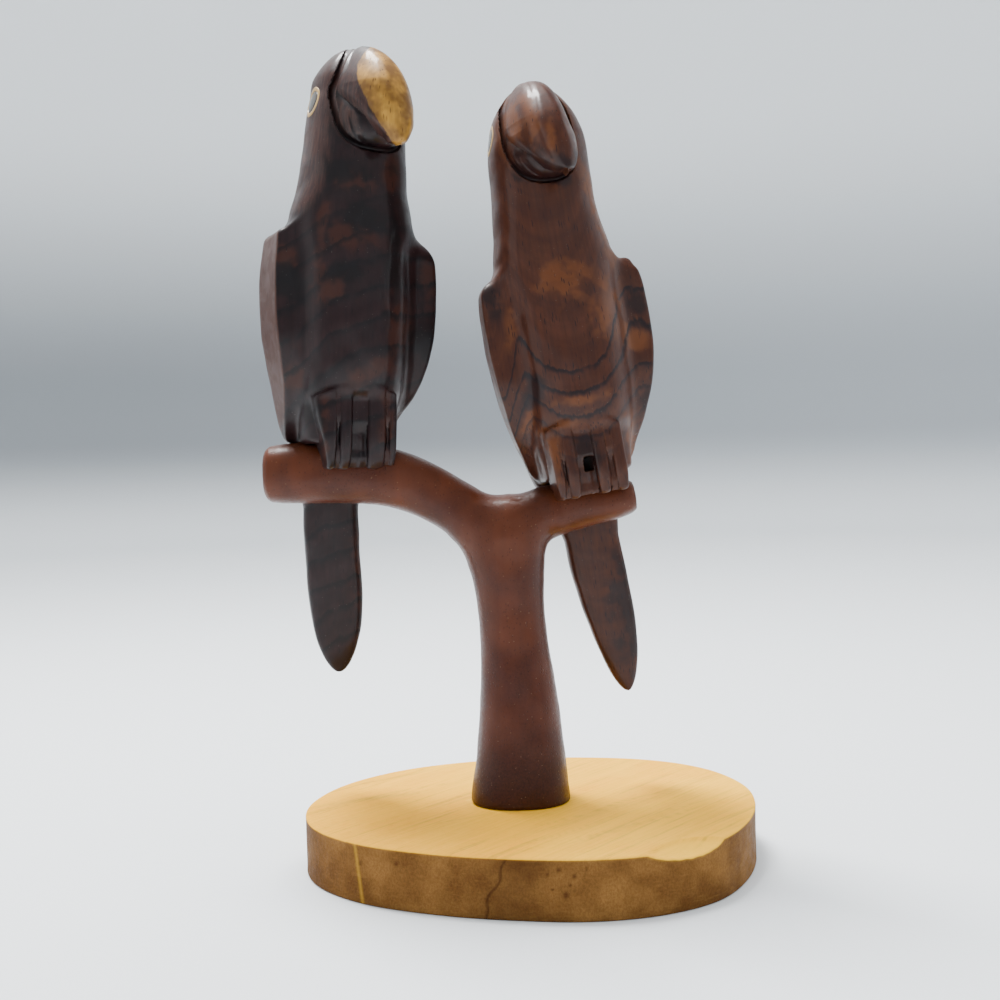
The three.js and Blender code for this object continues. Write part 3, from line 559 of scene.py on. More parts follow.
def foot_field(bird, x, y, s):
    """Two toes each side, the fillets between them and the set-back panel in the middle."""
    toes = bird["toes"]
    bottom = bird["toe_bottom"]
    middle = (toes[1][1] + toes[2][0]) / 2
    front = toe_front(s)
    parts = []
    for n, (left, right) in enumerate(toes):
        outer = left - (bird["toe_flare"] * smooth_step(1, LEG_TOP, s) if n == 0 else 0)
        narrow = 0.3 * smooth_step(6, bottom, s)
        crown = 0.1 * ((x - (left + right) / 2) ** 2)
        sides = np.maximum(outer + narrow - x, x - right + narrow)
        toe = soft_meet(sides, -y - front + crown, 0.7)
        parts.append(soft_meet(toe, bottom - s, 0.9))
    for n in (0, 2):
        left, right = toes[n][1] - 0.2, toes[n + 1][0] + 0.2
        strip = np.maximum(left - x, x - right)
        inset = 0.45 + 0.5 * smooth_step(4, 7, s) - 0.75 * smooth_step(8, 12, s)
        strip = np.maximum(strip, -y - front + inset)
        parts.append(np.maximum(strip, bottom + 0.3 - s))
    left, right = toes[1][1] - 0.2, toes[2][0] + 0.2
    between = np.maximum(left - x, x - right)
    ridge = 0.25 * bump(x - middle - 0.4, 0.5) * smooth_step(9, 7, s)
    inset = 0.7 + 0.9 * smooth_step(11, 8, s) - 0.5 * smooth_step(5, 3, s) - ridge
    parts.append(np.maximum(np.maximum(between, -y - front + inset), bottom + 0.4 - s))
    feet = parts[0]
    for part in parts[1:]:
        feet = np.minimum(feet, part)
    top = LEG_TOP - 0.028 * (x - middle) ** 2
    return np.maximum(soft_meet(feet, s - top, 0.8), y - LEG_BACK)


def place_of(bird):
    """From a parrot's own leaning frame to the frame round the post, in millimetres."""
    return (
        Matrix.Translation(bird["perch"])
        @ Matrix.Rotation(math.radians(bird["lean"]), 4, "Y")
        @ Matrix.Rotation(math.radians(bird["turn"]), 4, "Z")
    )


PERCH_REACH = 9.5
PERCH_FIT = 0.1


def parrot_skin(bird):
    """The field of one whole parrot in its own leaning frame."""
    place = np.array(place_of(bird))
    perch = (left_limb if bird is LEFT_PARROT else right_limb).perch_field

    def field(x, y, s):
        x, y, s = np.broadcast_arrays(x, y, s)
        sx, sy = straightened(bird, x, y, s)
        marks = knife_marks(x, y, s, 0.045)
        body = body_field(bird, sx, sy, s) + marks
        form = soft_union(body, tail_field(bird, sx, sy, s) + 0.5 * marks, 0.8)
        if s.max() > BEAK_TIP - 1:
            bx = (sx - bird["beak_shift"]) / bird["beak_scale"]
            hook = bx - bird["hook_bend"] * beak_bend(s)
            beak = np.minimum(upper_beak_field(bird, hook, sy, s), lower_beak_field(bird, bx, sy, s))
            form = soft_union(form, beak + 0.5 * marks, 0.5)
            form = np.maximum(form, -head_groove(bird, bx, sy, s, body))
        if s.min() < LEG_TOP + 1:
            feet = foot_field(bird, x, y, s) + 0.4 * marks
            form = soft_union(form, feet, 0.05 + 0.7 * smooth_step(11, 16, s))
        if bird["hole"] and s.min() < 9:
            x0, x1, s0, s1 = bird["hole"]
            slant = x + 0.16 * (y + 9)
            gap = np.maximum(np.maximum(x0 - slant, slant - x1), np.maximum(s0 - s, s - s1))
            form = np.maximum(form, -gap)
        if bird["knob"]:
            kx, ky, ks = bird["knob"]
            knob = np.sqrt((sx - kx) ** 2 + (sy - ky) ** 2 + (s - ks) ** 2) - 1.0
            form = soft_union(form, knob, 1.5)
        near = (np.abs(s) < PERCH_REACH) & (form < 2)
        if near.any():
            own = np.stack([x[near], y[near], s[near]])
            at = place[:3, :3] @ own + place[:3, 3:]
            form[near] = np.maximum(form[near], PERCH_FIT - perch(*at))
        return form

    return field


# Making the pieces

def settings():
    return bpy.context.scene.parrot_pair


def collection():
    return bpy.context.scene.collection


def new_piece(name, points, faces, place, material, normals=None, marks=None):
    """A mesh object from points in millimetres, with its place worked into the mesh."""
    points = np.asarray(points)
    turn = np.array(place.to_3x3())
    world = (points @ turn.T + np.array(place.translation)) * MM + np.array(POST_AXIS)
    mesh = bpy.data.meshes.new(name)
    mesh.from_pydata(world.tolist(), [], faces)
    mesh.materials.append(material)
    mesh.polygons.foreach_set("use_smooth", np.ones(len(mesh.polygons), bool))
    layer = mesh.attributes.new("own_place", "FLOAT_VECTOR", "POINT")
    layer.data.foreach_set("vector", points.astype(np.float32).ravel())
    for key, values in (marks or {}).items():
        layer = mesh.attributes.new(key, "FLOAT", "POINT")
        layer.data.foreach_set("value", np.asarray(values, np.float32))
    if normals is not None:
        mesh.normals_split_custom_set_from_vertices((normals @ turn.T).tolist())
    piece = bpy.data.objects.new(name, mesh)
    collection().objects.link(piece)
    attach(piece, "root")
    return piece


def bands(rows, count, closed=False):
    """Four-sided faces between rows of points that run round a form, one row after the other."""
    faces = []
    for row in range(rows if closed else rows - 1):
        a, b = row * count, (row + 1) % rows * count
        for k in range(count):
            j = (k + 1) % count
            faces.append([a + j, a + k, b + k, b + j])
    return faces


HOLLOW_REACH = 0.9


def carved_piece(name, field, grid, place, material, more=None):
    points, normals, faces, length = carve(field, *grid)
    hollow, edge = relief(field, points, normals, length, HOLLOW_REACH)
    marks = {"hollow": hollow, "edge": edge}
    if more:
        marks.update(more(points, normals))
    return new_piece(name, points, faces.tolist(), place, material, normals, marks)


# Shader nodes

class Wiring:
    """Places shader nodes in a tree and joins them."""

    def __init__(self, tree):
        self.tree = tree

    def node(self, kind, inputs=None, **options):
        made = self.tree.nodes.new("ShaderNode" + kind)
        for key, value in options.items():
            setattr(made, key, value)
        for key, value in (inputs or {}).items():
            self.feed(value, made.inputs[key])
        return made

    def feed(self, value, socket):
        if isinstance(value, bpy.types.NodeSocket):
            self.tree.links.new(value, socket)
        elif socket.type == "RGBA":
            socket.default_value = (*value[:3], 1)
        else:
            socket.default_value = value

    def mark(self, name):
        """A number stored on the mesh."""
        return self.node("Attribute", attribute_name=name).outputs["Fac"]

    def place(self):
        """The place on the piece in its own frame, in millimetres."""
        return self.node("Attribute", attribute_name="own_place").outputs["Vector"]

    def sum(self, operation, a, b=0.0):
        return self.node("Math", {0: a, 1: b}, operation=operation).outputs[0]

    def times(self, a, b):
        return self.sum("MULTIPLY", a, b)

    def plus(self, a, b):
        return self.sum("ADD", a, b)

    def swing(self, value, share):
        """A value round one half turned into a swing about nothing."""
        return self.times(self.sum("SUBTRACT", value, 0.5), share)

    def mix(self, share, a, b):
        mixer = self.node("Mix", {"Factor": share}, data_type="RGBA")
        self.feed(a, mixer.inputs[6])
        self.feed(b, mixer.inputs[7])
        return mixer.outputs[2]

    def layers(self, colour, *coats):
        """Lays colours over the first, each through its mask times its strength."""
        for mask, strength, over in coats:
            colour = self.mix(self.times(mask, strength), colour, over)
        return colour

    def between(self, value, low, high, start=0.0, stop=1.0):
        """A smooth rise from start to stop while a value goes from low to high."""
        inputs = {"Value": value, "From Min": low, "From Max": high, "To Min": start, "To Max": stop}
        return self.node("MapRange", inputs, interpolation_type="SMOOTHSTEP").outputs[0]

    def stretched(self, place, scale):
        return self.node("VectorMath", {0: place, 1: scale}, operation="MULTIPLY").outputs[0]

    def noise(self, place, scale=1.0, detail=2.0, rough=0.55):
        inputs = {"Vector": place, "Scale": scale, "Detail": detail, "Roughness": rough}
        return self.node("TexNoise", inputs).outputs[0]

    def spread(self, place, scale, low=0.35, high=0.65, detail=2.0):
        """Soft patches from 0 to 1."""
        return self.between(self.noise(place, scale, detail), low, high)

    def dots(self, place, scale, low, high, share):
        """Round dots that fade from low to high, in a share of scattered places."""
        cells = self.node("TexVoronoi", {"Vector": place, "Scale": scale})
        near = self.between(cells.outputs["Distance"], low, high, 1.0, 0.0)
        pick = self.node("SeparateColor", {"Color": cells.outputs["Color"]}).outputs[0]
        return self.times(near, self.sum("LESS_THAN", pick, share))

    def group(self, name, **inputs):
        made = self.node("Group", node_tree=bpy.data.node_groups[name])
        for key, value in inputs.items():
            self.feed(value, made.inputs[key])
        return made.outputs


def new_group(name, inputs, outputs):
    tree = bpy.data.node_groups.new(name, "ShaderNodeTree")
    for side, sockets in (("INPUT", inputs), ("OUTPUT", outputs)):
        for title, kind in sockets.items():
            tree.interface.new_socket(title, in_out=side, socket_type="NodeSocket" + kind)
    return Wiring(tree), tree.nodes.new("NodeGroupInput").outputs, tree.nodes.new("NodeGroupOutput").inputs


def make_ring_group():
    """Growth rings: thin dark lines and broad bands where a figure field passes a spacing."""
    w, given, made = new_group(
        "growth rings",
        {"Place": "Vector", "Figure": "Float", "Spacing": "Float", "Waver": "Float"},
        {"Line": "Float", "Band": "Float"})
    drift = w.swing(w.noise(given["Place"], 0.11), given["Waver"])
    ragged = w.swing(w.noise(w.stretched(given["Place"], (1.0, 1.0, 0.25)), 0.9), 1.6)
    figure = w.plus(w.plus(given["Figure"], drift), ragged)
    turns = w.sum("DIVIDE", figure, given["Spacing"])
    share = w.sum("FRACT", turns)
    line = w.times(w.between(share, 0.62, 0.90), w.between(share, 0.90, 1.0, 1.0, 0.0))
    w.feed(w.times(line, w.spread(given["Place"], 0.35, 0.2, 0.5)), made["Line"])
    along = w.node("CombineXYZ", {"X": w.times(turns, 0.9)}).outputs[0]
    w.feed(w.spread(along, 1.0, 0.34, 0.66), made["Band"])


def make_pore_group():
    """Short dark pores that run along the grain, as dashes with their own width and length."""
    w, given, made = new_group(
        "wood pores",
        {"Place": "Vector", "Width": "Float", "Length": "Float", "Share": "Float"}, {"Pore": "Float"})
    across = w.sum("DIVIDE", 1.0, given["Width"])
    along = w.sum("DIVIDE", 1.0, given["Length"])
    scale = w.node("CombineXYZ", {"X": across, "Y": across, "Z": along}).outputs[0]
    w.feed(w.dots(w.stretched(given["Place"], scale), 1.0, 0.16, 0.30, given["Share"]), made["Pore"])


def make_streak_group():
    """Fine and broad streaks of colour that run along the grain."""
    w, given, made = new_group(
        "grain streaks", {"Place": "Vector", "Fineness": "Float"}, {"Fine": "Float", "Broad": "Float"})
    long = w.stretched(given["Place"], (1.0, 1.0, 0.05))
    w.feed(w.spread(long, given["Fineness"], 0.3, 0.7, 3.0), made["Fine"])
    w.feed(w.spread(long, w.times(given["Fineness"], 0.22), 0.36, 0.64), made["Broad"])


def make_shade_and_rub_group():
    """Painted shade in the hollows, and rubbed edges, both broken up by noise."""
    w, given, made = new_group(
        "hollow shade and rubbed edges", {"Place": "Vector", "Hollow": "Float", "Edge": "Float"},
        {"HollowShade": "Float", "Rub": "Float"})
    patch = w.swing(w.noise(given["Place"], 0.8, 3.0), 0.5)
    # The first output darkens the hollows: painted shade.
    w.feed(w.between(w.plus(given["Hollow"], patch), 0.3, 0.95), made["HollowShade"])
    w.feed(w.between(w.plus(given["Edge"], patch), 0.4, 0.95), made["Rub"])


def make_surface_group():
    """The height of a hand-sanded, varnished skin: low waves, fine scratches and specks."""
    w, given, made = new_group(
        "sanded skin", {"Place": "Vector", "Waves": "Float", "Grit": "Float"},
        {"Height": "Float", "Speck": "Float"})
    waves = w.times(w.noise(given["Place"], 0.16, 1.0), given["Waves"])
    grit = w.times(w.noise(given["Place"], 3.2, 2.0, 0.7), given["Grit"])
    w.feed(w.plus(waves, grit), made["Height"])
    w.feed(w.dots(given["Place"], 1.1, 0.05, 0.16, 0.35), made["Speck"])


def new_material(name):
    """A material with its shader, the wiring for its tree and the place on the piece."""
    if not bpy.data.node_groups:
        for make in (
            make_ring_group, make_pore_group, make_streak_group, make_shade_and_rub_group, make_surface_group
        ):
            make()
    material = bpy.data.materials.new(name)
    material.use_nodes = True
    wiring = Wiring(material.node_tree)
    shader = material.node_tree.nodes["Principled BSDF"]
    return material, shader, wiring, wiring.place()


WOOD_IOR = 1.45


def finish(wiring, shader, colour, roughness, height, depth, coat, coat_roughness, shine=0.2):
    """Joins colour, roughness and height (in millimetres times depth) to the shader."""
    wiring.feed(colour, shader.inputs["Base Color"])
    wiring.feed(roughness, shader.inputs["Roughness"])
    tilt = wiring.node("Bump", {"Strength": 1.0, "Distance": depth * MM, "Height": height})
    wiring.feed(tilt.outputs[0], shader.inputs["Normal"])
    for key, value in (
        ("Coat Weight", coat), ("Coat Roughness", coat_roughness), ("IOR", WOOD_IOR),
        ("Specular IOR Level", shine),
    ):
        shader.inputs[key].default_value = value


FLECK_COLOUR = (0.05, 0.018, 0.006)
DUST_COLOUR = (0.3, 0.28, 0.25)


def rosewood(name, own, inlay, spacing, waver, share):
    """Varnished rosewood with growth rings, warm and near-black patches, and pale sapwood."""
    material, shader, w, place = new_material(name)
    rings = w.group("growth rings", Place=place, Figure=w.mark("figure"), Spacing=spacing, Waver=waver)
    streaks = w.group("grain streaks", Place=place, Fineness=1.5)
    pore = w.group("wood pores", Place=place, Width=0.5, Length=3.6, Share=share)["Pore"]
    shade_and_rub = w.group("hollow shade and rubbed edges", Place=place, Hollow=w.mark("hollow"), Edge=w.mark("edge"))
    skin = w.group("sanded skin", Place=place, Waves=0.8, Grit=0.1)
    cloud = w.spread(place, 0.24, 0.36, 0.64)
    warm = w.between(w.plus(w.mark("warm"), w.swing(cloud, 0.5)), 0.2, 0.95)
    # The deep mark holds near-black wood, and painted shade on the throat, lower beak and red tail.
    deep = w.between(w.plus(w.mark("deep"), w.swing(cloud, -0.5)), 0.2, 0.9)
    # The pale mark is painted light on left-facing sides, with one pale knot on the dark parrot.
    pale = w.between(w.plus(w.mark("pale"), w.times(streaks["Fine"], -0.25)), 0.1, 0.75)
    # The hollow layer in the dark colour is painted shade.
    colour = w.layers(
        w.mix(rings["Band"], own.body, own.second), (streaks["Fine"], 0.35, own.dark),
        (warm, 0.75, own.warm), (deep, 0.85, own.dark),
        (rings["Line"], w.mark("ring_strength"), own.line), (pale, 0.75, own.pale),
        (pore, w.between(streaks["Broad"], 0.0, 0.6, 0.35, 0.8), own.line),
        (shade_and_rub["HollowShade"], 0.75, own.dark), (shade_and_rub["Rub"], 0.22, own.warm))

    sap = w.plus(w.mark("sapwood"), w.swing(streaks["Fine"], 0.35))
    flecks = w.group("wood pores", Place=place, Width=0.55, Length=3.0, Share=0.5)["Pore"]
    sap_colour = w.layers(
        w.mix(w.spread(place, 0.3, 0.3, 0.7), inlay.sapwood, inlay.sapwood_ochre),
        (streaks["Fine"], 0.35, inlay.sapwood_ochre),
        (w.times(flecks, w.spread(place, 0.28, 0.36, 0.56)), 0.8, FLECK_COLOUR),
        (w.between(sap, -0.25, 1.3, 1.0, 0.0), 0.45, inlay.sapwood_ochre))
    colour = w.mix(w.between(sap, -0.22, 0.22), colour, sap_colour)
    colour = w.layers(colour, (skin["Speck"], 0.10, DUST_COLOUR))
    roughness = w.between(cloud, 0.0, 1.0, 0.45, 0.57)
    height = w.plus(skin["Height"], w.times(pore, -0.12))
    finish(w, shader, colour, roughness, height, 0.12, own.gloss, 0.12)
    return material


def branch_wood(own):
    """Reddish-brown branch wood under a thin satin finish, with fine specks and grain."""
    material, shader, w, place = new_material("reddish branch wood")
    skin = w.group("sanded skin", Place=place, Waves=0.7, Grit=0.30)
    streaks = w.group("grain streaks", Place=place, Fineness=1.1)
    pore = w.group("wood pores", Place=place, Width=0.55, Length=0.9, Share=0.5)["Pore"]
    shade_and_rub = w.group("hollow shade and rubbed edges", Place=place, Hollow=w.mark("hollow"), Edge=w.mark("edge"))
    grain = w.between(w.noise(place, 2.2, 5.0, 0.75), 0.35, 0.62)
    # The hollow layer in the dark colour is painted shade.
    colour = w.layers(
        w.mix(w.spread(place, 0.07), own.body, own.light), (streaks["Broad"], 0.25, own.dark),
        # The foot mark darkens the post towards its foot and the undersides as painted shade.
        (w.mark("pale_end"), 0.8, own.light), (w.mark("dark_foot_and_underside_shade"), 0.75, own.dark),
        (grain, 0.28, own.light), (pore, 0.45, own.dark), (shade_and_rub["HollowShade"], 0.5, own.dark),
        (shade_and_rub["Rub"], 0.35, own.light), (skin["Speck"], 0.35, own.dust))
    height = w.plus(skin["Height"], w.times(pore, -0.25))
    roughness = w.between(w.noise(place, 1.4, 4.0), 0.3, 0.7, 0.34, 0.5)
    finish(w, shader, colour, roughness, height, 0.16, 0.1, 0.25)
    return material


GRAIN_TURN = math.radians(50)


def base_wood(own):
    """Pale yellow wood, semi-matt, with long grain on top and a darker sawn rim."""
    material, shader, w, place = new_material("pale base wood")
    turned = w.node(
        "VectorRotate", {"Vector": place, "Angle": -GRAIN_TURN}, rotation_type="Z_AXIS").outputs[0]
    long = w.stretched(turned, (0.035, 1.0, 0.35))
    rim = w.mark("rim")
    fine = w.between(w.noise(long, 1.5, 5.0, 0.7), 0.30, 0.72)
    lines = w.between(w.noise(long, 0.62, 4.0, 0.6), 0.56, 0.66)
    raw = w.between(w.plus(w.mark("raw"), w.times(fine, 0.2)), 0.3, 0.9)
    top = w.layers(
        w.mix(w.spread(long, 0.16, 0.38, 0.62), own.top, own.amber),
        (w.spread(place, 0.045, 0.36, 0.64), 0.5, own.pale), (w.mark("amber_side"), 0.7, own.amber),
        (lines, 0.5, own.streak), (fine, 0.3, own.streak),
        (w.mark("streaks"), w.between(fine, 0.0, 0.8, 0.6, 1.0), own.streak), (raw, 0.55, own.pale))

    dots = w.between(w.noise(w.stretched(place, (1.0, 1.0, 0.7)), 2.6, 4.0, 0.8), 0.36, 0.64)
    saw = w.noise(w.stretched(turned, (0.5, 0.5, 2.2)), 0.9, 3.0)
    side = w.layers(
        w.mix(w.spread(place, 0.12, 0.3, 0.7), own.side, own.side_light), (dots, 0.35, own.side_dark),
        (w.between(saw, 0.5, 0.75), 0.35, own.side_light), (w.mark("side_marks"), 0.8, own.side_dark),
        (w.mark("side_pale"), 0.25, own.pale))

    ring = w.between(w.plus(w.mark("foot_ring"), w.times(w.noise(place, 1.3, 4.0), 0.5)), 0.75, 1.1)
    pore = w.group("wood pores", Place=turned, Width=0.5, Length=0.5, Share=0.3)["Pore"]
    shade_and_rub = w.group("hollow shade and rubbed edges", Place=place, Hollow=0.0, Edge=w.mark("edge"))
    colour = w.layers(
        w.mix(rim, top, side), (ring, 0.55, own.pale), (pore, 0.18, own.streak),
        (shade_and_rub["Rub"], 0.55, own.pale))
    skin = w.group("sanded skin", Place=place, Waves=0.4, Grit=0.5)
    height = w.plus(w.plus(skin["Height"], w.times(fine, -0.35)), w.times(w.times(saw, rim), 0.8))
    finish(w, shader, colour, w.between(fine, 0.0, 1.0, 0.42, 0.58), height, 0.1, 0.0, 0.3, 0.02)
    return material


def inlay_wood(name, light, dark, roughness):
    """A small turned inlay of plain wood with fine grain."""
    material, shader, w, place = new_material(name)
    streaks = w.group("grain streaks", Place=place, Fineness=3.0)
    skin = w.group("sanded skin", Place=place, Waves=0.3, Grit=0.25)
    pore = w.group("wood pores", Place=place, Width=0.35, Length=0.9, Share=0.35)["Pore"]
    colour = w.layers(light, (streaks["Fine"], 0.6, dark), (pore, 0.5, dark))
    worn = w.between(streaks["Broad"], 0.0, 1.0, roughness, roughness + 0.1)
    finish(w, shader, colour, worn, skin["Height"], 0.08, 0.5, 0.15)
    return material


WALL_SHADE = 0.73


def paper(floor, wall):
    """The pale sweep: bright underfoot, with painted shade where it turns up, deeper on the left, and light
    again higher up.
    """
    material, shader, w, place = new_material("pale paper")
    across, _, up = w.node("SeparateXYZ", {"Vector": place}).outputs
    low = w.mix(w.between(across, -500, 600), [WALL_SHADE * v for v in wall], wall)
    backdrop = w.mix(w.between(up, 170, 520), low, floor)
    colour = w.mix(w.between(up, -10, 110), floor, backdrop)
    w.feed(colour, shader.inputs["Base Color"])
    shader.inputs["Roughness"].default_value = 0.8
    shader.inputs["Specular IOR Level"].default_value = 0.2
    return material


# Where the colours lie on each parrot: x across the view from the front, s up

def patches(x, s, spots):
    """Soft oval patches from 0 to 1: each spot lists its middle, its half sizes and its tilt."""
    total = np.zeros_like(x)
    for cx, cs, width, height, tilt in spots:
        c, d = math.cos(math.radians(tilt)), math.sin(math.radians(tilt))
        u, v = c * (x - cx) + d * (s - cs), c * (s - cs) - d * (x - cx)
        total = np.maximum(total, np.exp(-((u / width) ** 2 + (v / height) ** 2)))
    return total


DARK_WARM = (
    (-4.0, 52, 1.3, 7, -4), (-5.0, 43.6, 1.6, 4, 14), (-11.4, 45, 3.4, 3.4, 0), (1, 49, 6, 2.6, -8),
    (-2.6, 38.2, 4.4, 3.6, -30), (11, 30.5, 2.4, 6.5, 0), (6.4, 21.6, 6.5, 2.2, 22),
    (17.4, 41, 2.2, 5, 0), (2, 60, 5, 2.0, -12), (-10.8, 20, 3, 5, 0), (9.0, 10, 1.6, 9, 0),
    (-3.5, 10, 1.2, 8, 0), (-7.5, 70, 2.0, 5, 0), (3, -22, 3.2, 13, 0), (9.5, 62, 1.6, 5, 0))
# Near-black patches of the wood, except those at (0, 63) under the beak and (0.6, 72.3) on the lower beak,
# which are painted shade.
DARK_DEEP = (
    (-10.6, 38.4, 4.2, 4.6, 0), (-0.9, 41, 6.5, 2.4, 8), (4, 52.6, 6.5, 3.4, 0), (16.2, 28.5, 3.4, 6.5, 30),
    (0, 63, 8, 4.5, 0), (10.2, 47, 1.8, 10, 0), (-6, 12, 3.0, 4, 0), (0.6, 72.3, 6, 4.2, 0))
SAP_EDGE = profile(
    (66, 11.8), (67.4, 10.5), (70.1, 8.6), (72.8, 6.8), (75.9, 5.2), (79.1, 3.8),
    (81.3, 3.1), (84, 2.9), (86.3, 3.8), (89, 5.2))


def lower_beak_share(bird, x, y, s):
    """One on the lower beak, nothing elsewhere."""
    bx = (x - bird["beak_shift"]) / bird["beak_scale"]
    hook = bx - bird["hook_bend"] * beak_bend(s)
    mouth = np.where(hook < 0, upper_beak_left(s), upper_beak_right(s))
    outside = smooth_step(-0.15, 0.1, np.abs(hook) - mouth)
    inside = smooth_step(0.2, -0.1, np.abs(bx) - beak_half(bird, bx, s))
    return outside * inside * (y < -BEAK_BASE) * smooth_step(79.5, 79, s) * smooth_step(66.5, 67.5, s)


def dark_marks(points, normals):
    """Figure and patches of the dark parrot."""
    turn = math.radians(LEFT_PARROT["turn"])
    x, y, s = points.T
    across = math.cos(turn) * x - math.sin(turn) * y
    front = upper_beak_edge(s)
    sx, sy = straightened(LEFT_PARROT, x, y, s)
    on_beak = (s > BEAK_TIP - 0.4) & (-sy > front - 1.0) & (sy < -4)
    ahead = np.where(s > 80, np.minimum(-sy - 1.5, 4.0), 4.0)
    sap = np.where(on_beak, np.minimum(across - SAP_EDGE(s), ahead), -4)
    # Left-facing side faces and neck sides are painted lighter: painted light.
    lit_side_face = smooth_step(0.55, 0.9, -normals[:, 0]) * smooth_step(-12.5, -14.5, x)
    lit_side_face = lit_side_face * smooth_step(56, 48, s)
    lit_neck_side = 0.5 * smooth_step(0.35, 0.8, -normals[:, 0]) * smooth_step(50, 56, s)
    knot = patches(across, s, ((-9.0, 66.2, 0.9, 1.5, 0),)) * smooth_step(0.2, 0.6, -normals[:, 0])
    # The lower beak goes into the near-black mark as painted shade under the overhanging upper beak, and
    # the left flank of the upper beak into the pale mark as painted light.
    below = lower_beak_share(LEFT_PARROT, sx, sy, s)
    lit_flank = smooth_step(-0.2, 0.6, -normals[:, 0]) * smooth_step(70, 76, s) * (1 - below)
    return {
        "figure": s - 0.43 * across + 0.35 * y, "ring_strength": 0.8 * smooth_step(70, 40, s) + 0.12,
        "warm": patches(across, s, DARK_WARM) * (1 - below),
        "deep": np.maximum(patches(across, s, DARK_DEEP), 0.75 * below),
        "pale": np.maximum.reduce([lit_side_face, lit_neck_side, knot, 0.35 * lit_flank]), "sapwood": sap,
    }


RED_WARM = (
    (13.4, 33.6, 3.0, 4.0, 0), (8, 40, 3.5, 6.5, -12), (0, 22.0, 7, 1.3, 0), (-6, 17.8, 5, 1.4, 12),
    (-12.6, 19, 1.2, 3.6, -30), (-12.5, 40, 2, 5, 0), (10.5, 60, 2.0, 12, 8), (-1.0, 80, 2.2, 6, 0),
    (2.2, 74, 1.4, 6, 0), (0, 47, 6, 5, 0), (9, 12, 1.4, 8, 0), (-8, 12, 1.6, 7, 0), (-4.4, 81, 2.0, 5, 0))
# Near-black patches of the wood, except those at (2.5, 68.6) and (-3.0, 71) on the chin and lower beak and
# (3, -26) on the tail, which are painted shade.
RED_DEEP = (
    (15.0, 41, 2.4, 4, 0), (-15.2, 46, 2.0, 4.5, 0), (15.5, 20, 3.4, 5.5, 0), (2.5, 68.6, 4.0, 2.6, 0),
    (-1.4, 12, 3.2, 6, 0), (-3.0, 71, 4.6, 3.4, 0), (-10, 26, 2.2, 5, -20),
    (3, -26, 5, 16, 0))
RING_RISE = profile(
    (-16, -2.5), (-14.6, 0.3), (-13.1, 3.5), (-11, 6.0), (-9.5, 4.8), (-7.2, 2.1), (-4, 0.5), (-1, 0),
    (3, 0.5), (6.8, 3.2), (8.9, 5.6), (11, 7.2), (13.6, 8.6), (17, 8.1))
FIRST_RING = 29.0


def red_marks(points, normals):
    """Figure and patches of the red parrot: a broad arch of rings low on its breast."""
    turn = math.radians(RIGHT_PARROT["turn"])
    x, y, s = points.T
    across = math.cos(turn) * x - math.sin(turn) * y
    steeper = 1 + 0.07 * np.clip(s - FIRST_RING, 0, 12)
    figure = s - RING_RISE(across) * steeper - FIRST_RING
    strength = smooth_step(1.5, 0.2, figure) * smooth_step(-26, -8, figure)
    strength = 0.10 + 0.85 * strength * smooth_step(-1, 4, -y + 6)
    # Left-facing sides are painted lighter: painted light.
    sides = 0.5 * smooth_step(0.45, 0.9, -normals[:, 0]) * smooth_step(-12, -14, x)
    tip = smooth_step(74, 69, s) * smooth_step(-12, -16, y)
    # The lower beak is painted near-black as shade under the upper beak.
    tip = np.maximum(tip, 0.9 * lower_beak_share(RIGHT_PARROT, *straightened(RIGHT_PARROT, x, y, s), s))
    return {
        "figure": figure + 0.35, "ring_strength": strength,
        "warm": patches(across, s, RED_WARM), "deep": np.maximum(patches(across, s, RED_DEEP), 0.8 * tip),
        "pale": sides, "sapwood": np.full(len(s), -4.0),
    }


# The eyes

EYE_STEPS = 96
SEAT_STEPS = 30
DROP_STEPS = 12
RING_SECTION = (
    (2.38, -0.4), (2.38, 0.02), (2.5, 0.07), (2.85, 0.09), (3.12, 0.07), (3.24, 0.01), (3.24, -0.4))
PUPIL_SECTION = ((0.2, 0.13), (1.0, 0.12), (1.8, 0.09), (2.16, 0.05), (2.3, -0.02), (2.33, -0.4))


def eye_piece(bird, side_name, side, kind, section, material):
    """A disc or ring let into the side of the head: section lists (radius, height over the wood)."""
    def skin(x, y, s):
        return body_field(bird, x, y, s)

    seat = np.array([side * 12.0, bird["eye_place"], bird["eye_height"]])
    for _ in range(SEAT_STEPS):
        seat[0] -= side * skin(*seat[:, None])[0] * 0.7
    outward = slope_of(skin, seat[None])[0]
    outward /= np.linalg.norm(outward)
    first = np.cross([0, 0, 1], outward)
    first /= np.linalg.norm(first)
    second = np.cross(outward, first)
    turns = np.linspace(0, 2 * np.pi, EYE_STEPS, endpoint=False)
    rings = []
    for radius, height in section:
        at = seat + radius * (np.cos(turns)[:, None] * first + np.sin(turns)[:, None] * second)
        for _ in range(DROP_STEPS):
            rise = (slope_of(skin, at) * outward).sum(axis=1)
            at = at - (skin(*at.T) / np.maximum(rise, 0.3))[:, None] * outward
        rings.append(at + height * outward)
    points = np.concatenate(rings)
    x, y = twisted(bird, *points.T)
    points = np.column_stack([x + bird["sway"](points[:, 2]), y, points[:, 2]])
    faces = bands(len(section), EYE_STEPS, kind == "ring")
    if kind == "pupil":
        faces += [list(range(EYE_STEPS)), list(range(len(points) - EYE_STEPS, len(points)))]
    node = f"{bird['node']}_{side_name}_" + ("eye_ring" if kind == "ring" else "pupil")
    piece = new_piece(f"{bird['piece']}_{side_name}_{kind}", points, faces, place_of(bird), material)
    face_out(piece.data)
    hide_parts(node)
    return piece


